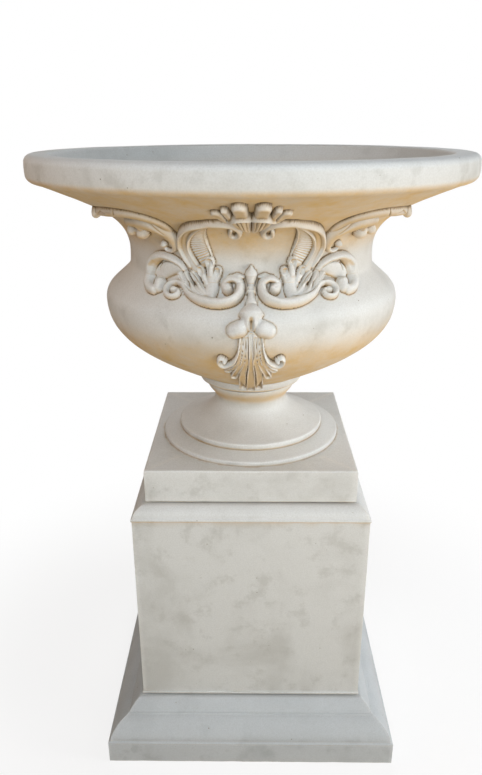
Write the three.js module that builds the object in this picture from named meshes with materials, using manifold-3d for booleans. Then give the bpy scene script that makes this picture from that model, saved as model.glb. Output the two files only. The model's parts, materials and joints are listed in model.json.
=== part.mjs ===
// A cast-stone garden urn on its pedestal, in millimetres, with +Z up and the decorated front facing -Y.
// The origin is the middle of the pedestal's underside.

import * as THREE from 'three';
import { mergeVertices } from 'three/addons/utils/BufferGeometryUtils.js';
import Module from 'manifold-3d';

// Clearances
const TOUCH = 0.3; // left between two pieces that bear on each other
const TUBE_CLEARANCE = 1.5; // round the drain tube in its holes

// Pedestal base: a hollow moulded course
const BASE_WIDTH = 600;
const BASE_PLINTH_HEIGHT = 54;
const BASE_HEIGHT = 117.5;
const BASE_FILLET_SETBACK = 38; // from the plinth's face to the fillet between the two mouldings
const BASE_TOP_SETBACK = 60; // from the plinth's face to the top of the upper moulding
const BASE_UPPER_MOULDING = 21; // height of the upper moulding
const BASE_OPENING = 370;

// Mortar bed between base and die
const MORTAR_THICKNESS = 3;
const MORTAR_RECESS = 4; // back from the die's face

// Pedestal die: a hollow shaft with a moulded top edge
const DIE_WIDTH = 462;
const DIE_HEIGHT = 456;
const DIE_WALL = 40;
const DIE_TOP_SLAB = 42;
const DIE_LIP = 2; // the small bead round its foot and under its top moulding
const DIE_LIP_HEIGHT = 6;
const DIE_MOULDING_HEIGHT = 20;
const DIE_MOULDING_SETBACK = 20;
const DIE_DRAIN_RADIUS = 25;

// Setting pads between the pedestal and the urn
const PAD_THICKNESS = 3;
const PAD_SIZE = 40;
const PAD_INSET = 34; // from the edge of the urn's plinth to the pad's middle

// Urn foot: square plinth, two discs and the flared socle, hollow underneath
const PLINTH_WIDTH = 412;
const PLINTH_HEIGHT = 68;
const LOWER_DISC_RADIUS = 187;
const LOWER_DISC_HEIGHT = 9;
const LOWER_DISC_RISE = 8; // how far its top climbs towards the upper disc
const UPPER_DISC_RADIUS = 152;
const UPPER_DISC_HEIGHT = 13;
const SOCLE_HEIGHT = 86; // from the upper disc to the joint under the bowl
const SOCLE_NECK_RADIUS = 76;
const SOCLE_TOP_RADIUS = 92;
const SOCLE_NECK_DROP = 34; // from the joint down to the narrowest part
const FOOT_WALL = 30;
const FOOT_CORE_HEIGHT = 78; // solid stone round the tube, below the joint

// Bowl
const RING_HEIGHT = 19;
const RING_RADIUS = 106;
const BULB_RADIUS = 288;
const BULB_LOWER_HEIGHT = 166; // ring to the widest part
const BULB_UPPER_HEIGHT = 60; // widest part to the crease
const CREASE_RADIUS = 240;
const NECK_RADIUS = 236.5;
const NECK_FOOT_HEIGHT = 33; // crease to the narrowest part of the neck
const NECK_FLARE_HEIGHT = 128; // narrowest part to the underside of the rim
const RIM_RADIUS = 415;
const RIM_THICKNESS = 47;
const RIM_WIDTH = 46;
const RIM_ROLL = 14; // radius of the rolled edge
const BOWL_WALL = 24;
const BOWL_FLOOR = 42;
const BOWL_SIDES = 48;
const FOOT_SIDES = 36;

// Drain tube that ties the bowl to its foot
const TUBE_RADIUS = 16.5;
const TUBE_BORE_RADIUS = 12.5;
const TUBE_STICK_OUT = 17; // past the washer at each end
const WASHER_RADIUS = 38;
const WASHER_THICKNESS = 4;
const SEAL_THICKNESS = 3;
const NUT_ACROSS_CORNERS = 58;
const NUT_HEIGHT = 12;
const FIXING_SIDES = 16;

// Ornament
const ORNAMENT_BURY = 7; // how far a stroke starts inside the wall before it is cut back
const STROKE_ARC_POINTS = 4;
const FEWEST_STEPS = 3;
const BOSS_SIDES = 8;

// Levels of the stacked pieces, from the bottom up
const DIE_BOTTOM = BASE_HEIGHT + MORTAR_THICKNESS + 2 * TOUCH;
const DIE_TOP = DIE_BOTTOM + DIE_HEIGHT;
const FOOT_BOTTOM = DIE_TOP + PAD_THICKNESS + 2 * TOUCH;
const FOOT_TOP = FOOT_BOTTOM + PLINTH_HEIGHT + LOWER_DISC_HEIGHT + LOWER_DISC_RISE
  + UPPER_DISC_HEIGHT + SOCLE_HEIGHT;
const BOWL_BOTTOM = FOOT_TOP + MORTAR_THICKNESS + 2 * TOUCH;
const BULB_BOTTOM = BOWL_BOTTOM + RING_HEIGHT;
const CREASE = BULB_BOTTOM + BULB_LOWER_HEIGHT + BULB_UPPER_HEIGHT;
const BULB_HEIGHT = CREASE - BULB_BOTTOM;
const NECK_HEIGHT = NECK_FOOT_HEIGHT + NECK_FLARE_HEIGHT;

const castStone = new THREE.MeshStandardMaterial({ color: '#d9d0c0', roughness: 0.85, metalness: 0 });
const pressedStone = new THREE.MeshStandardMaterial({ color: '#ddd5c6', roughness: 0.8, metalness: 0 });
const mortar = new THREE.MeshStandardMaterial({ color: '#8f8573', roughness: 0.95, metalness: 0 });
const zincSteel = new THREE.MeshStandardMaterial({ color: '#9a9c9c', roughness: 0.45, metalness: 1 });
const blackRubber = new THREE.MeshStandardMaterial({ color: '#2b2a28', roughness: 0.8, metalness: 0 });

const wasm = await Module();
wasm.setup();

// Solids and meshes

// Turns a closed geometry into a solid, whichever way its faces were wound.
function solid(geometry) {
  const bare = new THREE.BufferGeometry();
  bare.setAttribute('position', geometry.getAttribute('position'));
  bare.setIndex(geometry.index);
  const merged = mergeVertices(bare, 1e-3);
  const corners = merged.index.array;
  const triVerts = [];
  for (let i = 0; i < corners.length; i += 3) {
    const [a, b, c] = corners.slice(i, i + 3);
    if (a !== b && b !== c && c !== a) triVerts.push(a, b, c);
  }
  const build = (order) => new wasm.Manifold(new wasm.Mesh({
    numProp: 3,
    vertProperties: merged.attributes.position.array,
    triVerts: new Uint32Array(order),
  }));
  const made = build(triVerts);
  return made.volume() > 0 ? made : build(triVerts.reverse());
}

function union(solids) {
  return solids.reduce((whole, next) => whole.add(next));
}

const urn = new THREE.Group();

function addMesh(name, made, material) {
  const { vertProperties, triVerts } = made.getMesh();
  const geometry = new THREE.BufferGeometry();
  geometry.setAttribute('position', new THREE.BufferAttribute(vertProperties, 3));
  geometry.setIndex(new THREE.BufferAttribute(triVerts, 1));
  geometry.computeVertexNormals();
  const mesh = new THREE.Mesh(geometry, material);
  mesh.name = name;
  urn.add(mesh);
}

// Outlines are lists of Vector2: distance from the axis, and height.

const point = (radius, height) => new THREE.Vector2(radius, height);

function curve(from, leave, arrive, to, steps) {
  return new THREE.CubicBezierCurve(from, leave, arrive, to).getPoints(steps).slice(1);
}

// A turned solid; its outline closes on itself, or starts and ends on the axis.
function turned(outline, sides) {
  return solid(new THREE.LatheGeometry(outline, sides).rotateX(Math.PI / 2));
}

// A square course with mitred corners; the outline gives half widths instead of radii.
function squareCourse(outline) {
  const corners = outline.map((p) => point(p.x * Math.SQRT2, p.y));
  return solid(new THREE.LatheGeometry(corners, 4, Math.PI / 4).rotateX(Math.PI / 2));
}

function closed(outline) {
  return [...outline, outline[0].clone()];
}

function tubeSolid(outer, inner, bottom, top, sides = FIXING_SIDES) {
  return turned(closed([
    point(inner, bottom), point(outer, bottom), point(outer, top), point(inner, top),
  ]), sides);
}

function cylinder(radius, bottom, top, sides = FIXING_SIDES) {
  const shape = new THREE.CylinderGeometry(radius, radius, top - bottom, sides);
  return solid(shape.rotateX(Math.PI / 2).translate(0, 0, (bottom + top) / 2));
}

// Pedestal

function pedestalBase() {
  const face = BASE_WIDTH / 2;
  const fillet = face - BASE_FILLET_SETBACK;
  const top = face - BASE_TOP_SETBACK;
  const filletHeight = BASE_HEIGHT - BASE_UPPER_MOULDING;
  const opening = BASE_OPENING / 2;
  return squareCourse(closed([
    point(opening, 0),
    point(face, 0),
    point(face, BASE_PLINTH_HEIGHT),
    ...curve(
      point(face, BASE_PLINTH_HEIGHT),
      point(face - 4, BASE_PLINTH_HEIGHT + 18),
      point(fillet + 14, filletHeight - 6),
      point(fillet, filletHeight - 3),
      5,
    ),
    point(fillet, filletHeight),
    ...curve(
      point(fillet - 3, filletHeight),
      point(fillet - 8, filletHeight + 9),
      point(top + 6, BASE_HEIGHT - 5),
      point(top, BASE_HEIGHT),
      4,
    ),
    point(opening, BASE_HEIGHT),
  ]));
}

function baseMortarBed() {
  const inner = DIE_WIDTH / 2 - DIE_WALL;
  const outer = DIE_WIDTH / 2 - MORTAR_RECESS;
  const bottom = BASE_HEIGHT + TOUCH;
  return squareCourse(closed([
    point(inner, bottom), point(outer, bottom),
    point(outer, bottom + MORTAR_THICKNESS), point(inner, bottom + MORTAR_THICKNESS),
  ]));
}

function pedestalDie() {
  const face = DIE_WIDTH / 2;
  const inside = face - DIE_WALL;
  const shoulder = DIE_TOP - DIE_MOULDING_HEIGHT;
  const drain = DIE_DRAIN_RADIUS;
  const shell = squareCourse([
    point(0, DIE_BOTTOM),
    point(face + DIE_LIP, DIE_BOTTOM),
    point(face + DIE_LIP, DIE_BOTTOM + DIE_LIP_HEIGHT),
    point(face, DIE_BOTTOM + DIE_LIP_HEIGHT + DIE_LIP),
    point(face, shoulder - DIE_LIP_HEIGHT),
    point(face + DIE_LIP, shoulder - DIE_LIP_HEIGHT + DIE_LIP),
    point(face + DIE_LIP, shoulder),
    ...curve(
      point(face - DIE_LIP, shoulder),
      point(face - DIE_LIP, shoulder + DIE_MOULDING_HEIGHT * 0.5),
      point(face - DIE_MOULDING_SETBACK + 8, DIE_TOP - 2),
      point(face - DIE_MOULDING_SETBACK, DIE_TOP),
      5,
    ),
    point(0, DIE_TOP),
  ]);
  const hollow = squareCourse([
    point(0, DIE_BOTTOM - 1),
    point(inside, DIE_BOTTOM - 1),
    point(inside, DIE_TOP - DIE_TOP_SLAB),
    point(0, DIE_TOP - DIE_TOP_SLAB),
  ]);
  return shell.subtract(hollow).subtract(cylinder(drain, DIE_TOP - DIE_TOP_SLAB - 1, DIE_TOP + 1));
}

function settingPad(side, end) {
  const reach = PLINTH_WIDTH / 2 - PAD_INSET;
  const pad = new THREE.BoxGeometry(PAD_SIZE, PAD_SIZE, PAD_THICKNESS);
  return solid(pad.translate(side * reach, end * reach, DIE_TOP + TOUCH + PAD_THICKNESS / 2));
}

// Urn foot

function urnFoot() {
  const half = PLINTH_WIDTH / 2;
  const plinthTop = FOOT_BOTTOM + PLINTH_HEIGHT;
  const lowerTop = plinthTop + LOWER_DISC_HEIGHT;
  const upperBottom = lowerTop + LOWER_DISC_RISE;
  const upperTop = upperBottom + UPPER_DISC_HEIGHT;
  const neck = FOOT_TOP - SOCLE_NECK_DROP;
  const plinth = squareCourse([
    point(0, FOOT_BOTTOM), point(half, FOOT_BOTTOM), point(half, plinthTop), point(0, plinthTop),
  ]);
  const socle = turned([
    point(0, plinthTop - 1),
    point(LOWER_DISC_RADIUS, plinthTop - 1),
    point(LOWER_DISC_RADIUS, lowerTop - 2),
    point(LOWER_DISC_RADIUS - 3, lowerTop),
    point(UPPER_DISC_RADIUS - 3, upperBottom),
    point(UPPER_DISC_RADIUS, upperBottom + 3),
    point(UPPER_DISC_RADIUS, upperTop - 3),
    ...curve(
      point(UPPER_DISC_RADIUS - 1, upperTop),
      point(SOCLE_NECK_RADIUS + 14, upperTop + (neck - upperTop) * 0.35),
      point(SOCLE_NECK_RADIUS, neck - (neck - upperTop) * 0.35),
      point(SOCLE_NECK_RADIUS, neck),
      8,
    ),
    ...curve(
      point(SOCLE_NECK_RADIUS, neck),
      point(SOCLE_NECK_RADIUS, neck + SOCLE_NECK_DROP * 0.4),
      point(SOCLE_TOP_RADIUS, FOOT_TOP - SOCLE_NECK_DROP * 0.5),
      point(SOCLE_TOP_RADIUS, FOOT_TOP),
      4,
    ),
    point(0, FOOT_TOP),
  ], FOOT_SIDES);
  const recessTop = plinthTop - FOOT_WALL;
  const recess = squareCourse([
    point(0, FOOT_BOTTOM - 1), point(half - FOOT_WALL, FOOT_BOTTOM - 1),
    point(half - FOOT_WALL, recessTop), point(0, recessTop),
  ]);
  const cavity = turned([
    point(0, recessTop - 1),
    point(UPPER_DISC_RADIUS - FOOT_WALL, recessTop - 1),
    point(UPPER_DISC_RADIUS - FOOT_WALL, upperBottom - FOOT_WALL / 2),
    point(WASHER_RADIUS + 8, FOOT_TOP - FOOT_CORE_HEIGHT),
    point(0, FOOT_TOP - FOOT_CORE_HEIGHT),
  ], FOOT_SIDES);
  const hole = cylinder(TUBE_RADIUS + TUBE_CLEARANCE, FOOT_BOTTOM, FOOT_TOP + 1);
  return plinth.add(socle).subtract(recess).subtract(cavity).subtract(hole);
}

function footMortarRing() {
  const bottom = FOOT_TOP + TOUCH;
  const outer = SOCLE_TOP_RADIUS - MORTAR_RECESS;
  return tubeSolid(outer, outer / 2, bottom, bottom + MORTAR_THICKNESS, FOOT_SIDES);
}

// Bowl

// The outside from the ring at the bottom to the foot of the rim.
function bowlOutside() {
  const widest = BULB_BOTTOM + BULB_LOWER_HEIGHT;
  const waist = CREASE + NECK_FOOT_HEIGHT;
  const underRim = CREASE + NECK_HEIGHT;
  const rimFoot = RIM_RADIUS - RIM_ROLL;
  const start = point(RING_RADIUS + 2, BULB_BOTTOM);
  const low = [start, ...curve(
    start,
    point(RING_RADIUS + (BULB_RADIUS - RING_RADIUS) * 0.68, BULB_BOTTOM + BULB_LOWER_HEIGHT * 0.37),
    point(BULB_RADIUS, BULB_BOTTOM + BULB_LOWER_HEIGHT * 0.58),
    point(BULB_RADIUS, widest),
    6,
  )];
  const high = curve(
    point(BULB_RADIUS, widest),
    point(BULB_RADIUS, widest + BULB_UPPER_HEIGHT * 0.47),
    point((BULB_RADIUS + CREASE_RADIUS) / 2 - 2, widest + BULB_UPPER_HEIGHT * 0.62),
    point(CREASE_RADIUS, CREASE),
    4,
  );
  const flare = curve(
    point(NECK_RADIUS, waist),
    point(NECK_RADIUS, waist + NECK_FLARE_HEIGHT * 0.49),
    point(NECK_RADIUS + (rimFoot - NECK_RADIUS) * 0.38, waist + NECK_FLARE_HEIGHT * 0.67),
    point(rimFoot, underRim),
    7,
  );
  return [...low, ...high, point(NECK_RADIUS, waist), ...flare];
}

// The same line moved inwards by the wall's thickness.
function inset(outline, wall) {
  return outline.map((p, i) => {
    const before = outline[Math.max(i - 1, 0)];
    const after = outline[Math.min(i + 1, outline.length - 1)];
    const along = after.clone().sub(before).normalize();
    return point(p.x - along.y * wall, p.y + along.x * wall);
  });
}

function bowlRing() {
  return [
    point(SOCLE_TOP_RADIUS, BOWL_BOTTOM),
    point(RING_RADIUS - 6, BOWL_BOTTOM + 1),
    point(RING_RADIUS, BOWL_BOTTOM + RING_HEIGHT * 0.35),
    point(RING_RADIUS, BOWL_BOTTOM + RING_HEIGHT * 0.8),
    point(RING_RADIUS - 3, BOWL_BOTTOM + RING_HEIGHT - 1),
  ];
}

function rimRoll() {
  const bottom = CREASE + NECK_HEIGHT;
  const top = bottom + RIM_THICKNESS;
  const inner = RIM_RADIUS - RIM_WIDTH;
  return [
    ...curve(
      point(RIM_RADIUS - RIM_ROLL, bottom), point(RIM_RADIUS - RIM_ROLL * 0.4, bottom),
      point(RIM_RADIUS, bottom + RIM_ROLL * 0.4), point(RIM_RADIUS, bottom + RIM_ROLL), 3,
    ),
    ...curve(
      point(RIM_RADIUS, top - RIM_ROLL), point(RIM_RADIUS, top - RIM_ROLL * 0.4),
      point(RIM_RADIUS - RIM_ROLL * 0.4, top), point(RIM_RADIUS - RIM_ROLL, top), 3,
    ),
    point(inner + 8, top - 1),
    point(inner, top - 6),
  ];
}

const outside = bowlOutside();

// The distance from the axis to a line at a height, carried on past its ends.
function radiusAt(height, line = outside) {
  const above = line.findIndex((p) => p.y > height);
  const next = above < 0 ? line.length - 1 : Math.max(above, 1);
  const [lower, upper] = [line[next - 1], line[next]];
  return lower.x + (upper.x - lower.x) * ((height - lower.y) / (upper.y - lower.y));
}

function bowl() {
  const floor = BOWL_BOTTOM + BOWL_FLOOR;
  const hole = TUBE_RADIUS + TUBE_CLEARANCE;
  const lip = RIM_RADIUS - RIM_WIDTH - 4;
  const wall = inset(outside, BOWL_WALL);
  const within = (p, i) => i % 2 === 0 && p.y > floor && p.x < lip;
  const inside = wall.toReversed().filter(within);
  return turned(closed([
    point(hole, BOWL_BOTTOM),
    ...bowlRing(),
    ...outside,
    ...rimRoll(),
    ...inside,
    point(radiusAt(floor, wall), floor),
    point(hole, floor),
  ]), BOWL_SIDES);
}

// The bowl's outside grown by a clearance, to cut the backs of the ornaments to its shape.
function bowlCutter() {
  const grown = inset(outside, -TOUCH);
  return turned([
    point(0, outside[0].y),
    ...grown,
    point(RIM_RADIUS + TOUCH, CREASE + NECK_HEIGHT),
    point(RIM_RADIUS + TOUCH, CREASE + NECK_HEIGHT + RIM_THICKNESS),
    point(0, CREASE + NECK_HEIGHT + RIM_THICKNESS),
  ], BOWL_SIDES);
}

// Drain tube and its fixings, from the bottom up

const SEAT_BELOW = FOOT_TOP - FOOT_CORE_HEIGHT; // the ceiling of the foot's hollow
const SEAT_ABOVE = BOWL_BOTTOM + BOWL_FLOOR; // the bowl's floor

function washer(bottom, thickness, outer = WASHER_RADIUS) {
  return tubeSolid(outer, TUBE_RADIUS + TOUCH, bottom, bottom + thickness);
}

function nut(bottom) {
  const hex = cylinder(NUT_ACROSS_CORNERS / 2, bottom, bottom + NUT_HEIGHT, 6);
  return hex.subtract(cylinder(TUBE_RADIUS + TOUCH, bottom - 1, bottom + NUT_HEIGHT + 1));
}

// Ornament. A place on the bowl's outside is given as degrees round from the middle of a face and as
// per cent: of the neck's height above the crease, or of the bulb's height below it when negative.

function levelOf(percent) {
  return CREASE + (percent / 100) * (percent > 0 ? NECK_HEIGHT : BULB_HEIGHT);
}

// The point, and the directions outwards and sideways, at a place raised from the stone by lift.
function onBowl(degrees, percent, lift = 0) {
  const height = levelOf(percent);
  const slope = (radiusAt(height + 2) - radiusAt(height - 2)) / 4;
  const turn = THREE.MathUtils.degToRad(degrees);
  const outwards = new THREE.Vector3(Math.sin(turn), -Math.cos(turn), -slope).normalize();
  const radius = radiusAt(height);
  const at = new THREE.Vector3(radius * Math.sin(turn), -radius * Math.cos(turn), height);
  return { at: at.addScaledVector(outwards, lift), outwards };
}

// The value at a share of the way along a short list of values.
function along(values, share) {
  const last = values.length - 1;
  const i = Math.min(Math.floor(share * last), last - 1);
  return last === 0 ? values[0] : THREE.MathUtils.lerp(values[i], values[i + 1], share * last - i);
}

// One raised stroke: a tapering rib with a rounded back, laid along a smooth line on the bowl.
// wide and high list half widths and heights along it; grow makes a slightly larger copy.
function stroke({ path, wide, high, lift = 0 }, face, grow) {
  const line = new THREE.CatmullRomCurve3(path.map(([degrees, percent]) => (
    new THREE.Vector3(degrees, percent, 0))), false, 'centripetal');
  const steps = Math.max(path.length - 1, FEWEST_STEPS);
  const ring = STROKE_ARC_POINTS + 2;
  const positions = [];
  for (let i = 0; i <= steps; i += 1) {
    const share = i / steps;
    const here = line.getPoint(share);
    const before = line.getPoint(Math.max(share - 0.01, 0));
    const after = line.getPoint(Math.min(share + 0.01, 1));
    const { at, outwards } = onBowl(face.turn + face.side * here.x, here.y, lift);
    const forwards = onBowl(face.turn + face.side * after.x, after.y).at
      .sub(onBowl(face.turn + face.side * before.x, before.y).at).normalize();
    const sideways = new THREE.Vector3().crossVectors(outwards, forwards).normalize();
    const halfWidth = along(wide, share) + grow;
    const height = along(high, share) + grow;
    for (let j = 0; j < ring; j += 1) {
      const onArc = j < STROKE_ARC_POINTS;
      const angle = (Math.PI * j) / (STROKE_ARC_POINTS - 1);
      const across = onArc ? Math.cos(angle) : Math.sign(j - ring + 1.5);
      const up = onArc ? height * Math.sin(angle) : -ORNAMENT_BURY - lift;
      const corner = at.clone().addScaledVector(sideways, across * halfWidth).addScaledVector(outwards, up);
      positions.push(...corner.toArray());
    }
  }
  const faces = [];
  for (let i = 0; i < steps; i += 1) {
    for (let j = 0; j < ring; j += 1) {
      const a = i * ring + j;
      const b = i * ring + ((j + 1) % ring);
      faces.push(a, b, a + ring, b, b + ring, a + ring);
    }
  }
  for (let j = 1; j < ring - 1; j += 1) {
    const end = steps * ring;
    faces.push(0, j + 1, j, end, end + j, end + j + 1);
  }
  const geometry = new THREE.BufferGeometry();
  geometry.setAttribute('position', new THREE.Float32BufferAttribute(positions, 3));
  geometry.setIndex(faces);
  return solid(geometry);
}

// A round boss, as at the eye of a scroll, half sunk in the wall.
function boss({ place, radius, high }, face, grow) {
  const { at, outwards } = onBowl(face.turn + face.side * place[0], place[1]);
  const shape = new THREE.SphereGeometry(1, BOSS_SIDES, BOSS_SIDES / 2);
  shape.scale(radius + grow, radius + grow, high + grow);
  shape.applyQuaternion(new THREE.Quaternion().setFromUnitVectors(new THREE.Vector3(0, 0, 1), outwards));
  return solid(shape.translate(...at.toArray()));
}

function relief(design, face, grow = 0) {
  return union(design.map((item) => (item.path ? stroke(item, face, grow) : boss(item, face, grow))));
}

const mirrored = (items) => items.flatMap((item) => [
  item,
  item.path
    ? { ...item, path: item.path.map(([degrees, percent]) => [-degrees, percent]) }
    : { ...item, place: [-item.place[0], item.place[1]] },
]);

const crestShell = [
  { path: [[0, 67], [0, 82], [0, 97]], wide: [7, 11, 10], high: [9, 13, 8] },
  ...mirrored([
    { path: [[0.5, 68], [2.2, 83], [3.6, 96]], wide: [6, 9, 9], high: [8, 12, 7] },
    { path: [[0.8, 70], [3.8, 80], [6.8, 90]], wide: [6, 9, 7], high: [8, 11, 6] },
  ]),
];

const frameBand = [
  {
    path: [[7.9, 62], [6.2, 61], [4.7, 64], [4.8, 69], [7.2, 73.5], [12, 76], [17, 74], [21.5, 69],
      [25, 61.5], [27, 52], [27.3, 43], [26.8, 33], [25.6, 24.5]],
    wide: [4, 5, 6, 8, 10, 10, 7],
    high: [8, 11, 13, 14, 14, 13, 9],
  },
  {
    path: [[12, 75.5], [16.8, 69.5], [20.4, 61], [21.6, 52], [21.2, 43], [20.2, 35]],
    wide: [7, 12, 13, 12, 8],
    high: [5, 7, 7, 7, 5],
  },
];

const acanthusScroll = [
  {
    path: [[30.6, -4], [32.2, -6], [33.8, -3.6], [33, 0], [30, 2], [27, -1], [24, -4.6], [20, -7.6],
      [15, -10.2], [10, -10.4], [6.2, -8], [4.2, -3.5], [3.8, 2], [5, 8.3], [7.6, 12], [10.2, 9.8],
      [11.2, 3.9], [10.3, -1]],
    wide: [4, 5, 6, 7, 9, 9, 8.5, 8, 6.5, 4.5],
    high: [8, 9, 10, 12, 16, 18, 18, 16, 14, 12],
    lift: 2,
  },
  { path: [[16.5, -6], [16.4, 14], [16.2, 33]], wide: [9, 9, 6], high: [12, 14, 13] },
  { path: [[14.6, -4], [13.4, 10], [12.9, 22]], wide: [6, 6, 4], high: [10, 12, 10] },
  { path: [[18.5, -7], [19.6, 6], [20.9, 21]], wide: [7, 7, 5], high: [10, 13, 11] },
  { path: [[21.8, -6], [23.4, 4], [25, 14]], wide: [7, 6, 5], high: [10, 12, 10] },
  { path: [[25, -4], [27.4, 5], [29.6, 12]], wide: [6, 6, 5], high: [9, 12, 10] },
];

const finial = [
  {
    path: [[0, -6.5], [0, -2.6], [0, 2], [0, 9], [0, 16], [0, 23.5]],
    wide: [7, 5, 6, 9, 8.5, 4],
    high: [11, 10, 12, 15, 14, 9],
    lift: 2,
  },
];

const shellPendant = [
  { path: [[0, -8.4], [0, -14], [0, -20], [0, -28]], wide: [8, 14, 15, 10], high: [10, 14, 14, 12] },
  { path: [[0, -26], [0, -50], [0, -72], [0, -91]], wide: [6, 8, 9, 8.5], high: [9, 9, 10, 9] },
  ...mirrored([
    { place: [4.6, -26.6], radius: 17, high: 14 },
    { path: [[1, -30], [2.2, -54], [3.6, -72], [5.6, -85]], wide: [5, 7, 8, 7], high: [9, 9, 9, 8] },
    { path: [[1.8, -31], [3.8, -50], [6.4, -64], [9.4, -74]], wide: [5, 7, 8, 6], high: [8, 9, 9, 7] },
    { path: [[2.2, -32], [4.6, -47], [7.4, -56], [10.6, -59], [11.4, -52]], wide: [5, 6, 6, 5], high: [8, 8, 9, 8] },
  ]),
];

const outerScroll = [
  {
    path: [[27.4, 20.5], [30, 26.5], [34, 31], [38.5, 31.5], [43, 27.5], [45.8, 20], [46.6, 11], [46, 1.3],
      [43.5, -4.6], [39.6, -6.6], [36.6, -4.6], [37.4, 1]],
    wide: [5, 8, 10, 11, 11, 10, 7],
    high: [7, 11, 14, 15, 15, 14, 11],
  },
  { path: [[32, 26], [36, 19], [40, 9], [41, 0]], wide: [8, 13, 14, 10], high: [4, 4, 4, 6] },
];

const sideLeaf = [
  {
    path: [[35.2, 49], [33.6, 46], [31.9, 46.5], [31, 50.5], [29.8, 57], [29, 65], [29.2, 73], [31, 79],
      [34.6, 83], [39.5, 86], [45, 88.5], [51, 90]],
    wide: [6, 5, 5.5, 6.5, 8, 9, 8],
    high: [8, 9, 10, 12, 13, 12, 8],
  },
  { path: [[32, 80], [37.5, 76], [43, 71], [48.5, 71], [53, 76]], wide: [6, 7, 7, 9, 6], high: [7, 8, 9, 10, 7] },
  { place: [42.6, 68.5], radius: 11, high: 12 },
  { place: [48.6, 69.5], radius: 9, high: 10 },
];

// Which designs are pressed for each face. Later pieces are cut back where they would meet earlier ones.
const SETS = [
  { name: 'acanthus_scroll', design: acanthusScroll, paired: true },
  { name: 'finial', design: finial, paired: false },
  { name: 'shell_pendant', design: shellPendant, paired: false },
  { name: 'cartouche_band', design: frameBand, paired: true },
  { name: 'crest_shell', design: crestShell, paired: false },
  { name: 'outer_scroll', design: outerScroll, paired: true },
  { name: 'side_leaf', design: sideLeaf, paired: true },
];

function addOrnaments() {
  const cutter = bowlCutter();
  for (const [faceName, turn] of [['front', 0], ['back', 180]]) {
    let taken = null;
    for (const { name, design, paired } of SETS) {
      for (const [sideName, side] of paired ? [['_right', 1], ['_left', -1]] : [['', 1]]) {
        const face = { turn, side };
        const pressed = relief(design, face).subtract(cutter);
        const grown = relief(design, face, TOUCH);
        addMesh(`${faceName}_${name}${sideName}`, taken ? pressed.subtract(taken) : pressed, pressedStone);
        taken = taken ? taken.add(grown) : grown;
      }
    }
  }
}

addMesh('pedestal_base', pedestalBase(), castStone);
addMesh('base_mortar_bed', baseMortarBed(), mortar);
addMesh('pedestal_die', pedestalDie(), castStone);
for (const [side, sideName] of [[-1, 'left'], [1, 'right']]) {
  for (const [end, endName] of [[-1, 'front'], [1, 'back']]) {
    addMesh(`setting_pad_${endName}_${sideName}`, settingPad(side, end), blackRubber);
  }
}
addMesh('urn_foot', urnFoot(), castStone);
addMesh('foot_mortar_ring', footMortarRing(), mortar);
addMesh('bowl', bowl(), castStone);

const belowWasher = SEAT_BELOW - TOUCH - WASHER_THICKNESS;
const belowNut = belowWasher - TOUCH - NUT_HEIGHT;
const seal = SEAT_ABOVE + TOUCH;
const aboveWasher = seal + SEAL_THICKNESS + TOUCH;
const aboveNut = aboveWasher + WASHER_THICKNESS + TOUCH;
addMesh('drain_tube', tubeSolid(
  TUBE_RADIUS,
  TUBE_BORE_RADIUS,
  belowWasher - TUBE_STICK_OUT,
  aboveWasher + WASHER_THICKNESS + TUBE_STICK_OUT,
), zincSteel);
addMesh('lower_washer', washer(belowWasher, WASHER_THICKNESS), zincSteel);
addMesh('lower_nut', nut(belowNut), zincSteel);
addMesh('rubber_seal', washer(seal, SEAL_THICKNESS), blackRubber);
addMesh('upper_washer', washer(aboveWasher, WASHER_THICKNESS), zincSteel);
addMesh('upper_nut', nut(aboveNut), zincSteel);
addOrnaments();

export default urn;
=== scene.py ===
"""A cast-stone garden urn on its pedestal, with pressed ornament luted to the bowl.

Sizes in the classes are millimetres, and every mesh is brought to metres when its object is made. The
bowl's outline carries the ornament: a place on it is given as degrees round from the middle of a face and
as per cent, of the neck's height above the crease or of the bulb's height below it when negative.
"""

import json
import logging
import math
from collections.abc import Callable, Iterable, Sequence
from dataclasses import dataclass, field, replace
from enum import Enum

import bmesh
import bpy
import numpy as np
from bmesh.types import BMesh, BMLayerItem, BMVert
from bpy.types import Material, Mesh, Node, NodeSocket, NodeTree, Object
from mathutils import Euler, Matrix, Vector, noise
from mathutils.geometry import interpolate_bezier


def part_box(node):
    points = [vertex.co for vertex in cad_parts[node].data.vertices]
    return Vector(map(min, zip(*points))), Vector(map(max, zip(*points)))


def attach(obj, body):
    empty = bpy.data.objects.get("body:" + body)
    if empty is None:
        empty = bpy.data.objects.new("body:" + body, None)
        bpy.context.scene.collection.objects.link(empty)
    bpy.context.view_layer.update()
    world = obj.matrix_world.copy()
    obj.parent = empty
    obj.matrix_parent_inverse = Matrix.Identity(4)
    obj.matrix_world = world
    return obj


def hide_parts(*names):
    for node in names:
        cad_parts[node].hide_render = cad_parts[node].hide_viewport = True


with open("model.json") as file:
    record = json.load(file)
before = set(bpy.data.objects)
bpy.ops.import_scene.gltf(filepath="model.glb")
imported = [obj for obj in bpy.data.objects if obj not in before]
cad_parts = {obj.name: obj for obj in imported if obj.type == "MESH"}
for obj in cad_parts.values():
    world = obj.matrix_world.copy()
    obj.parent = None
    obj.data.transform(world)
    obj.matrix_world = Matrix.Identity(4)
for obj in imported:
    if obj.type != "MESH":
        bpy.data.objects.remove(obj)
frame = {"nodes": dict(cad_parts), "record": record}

log = logging.getLogger("garden_urn")

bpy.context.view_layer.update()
MM = 0.001
SHARP_ANGLE = math.radians(38)

PEDESTAL = "pedestal"
URN = "urn"

Point = tuple[float, float]
Outline = list[Point]


# Meshes

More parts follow.
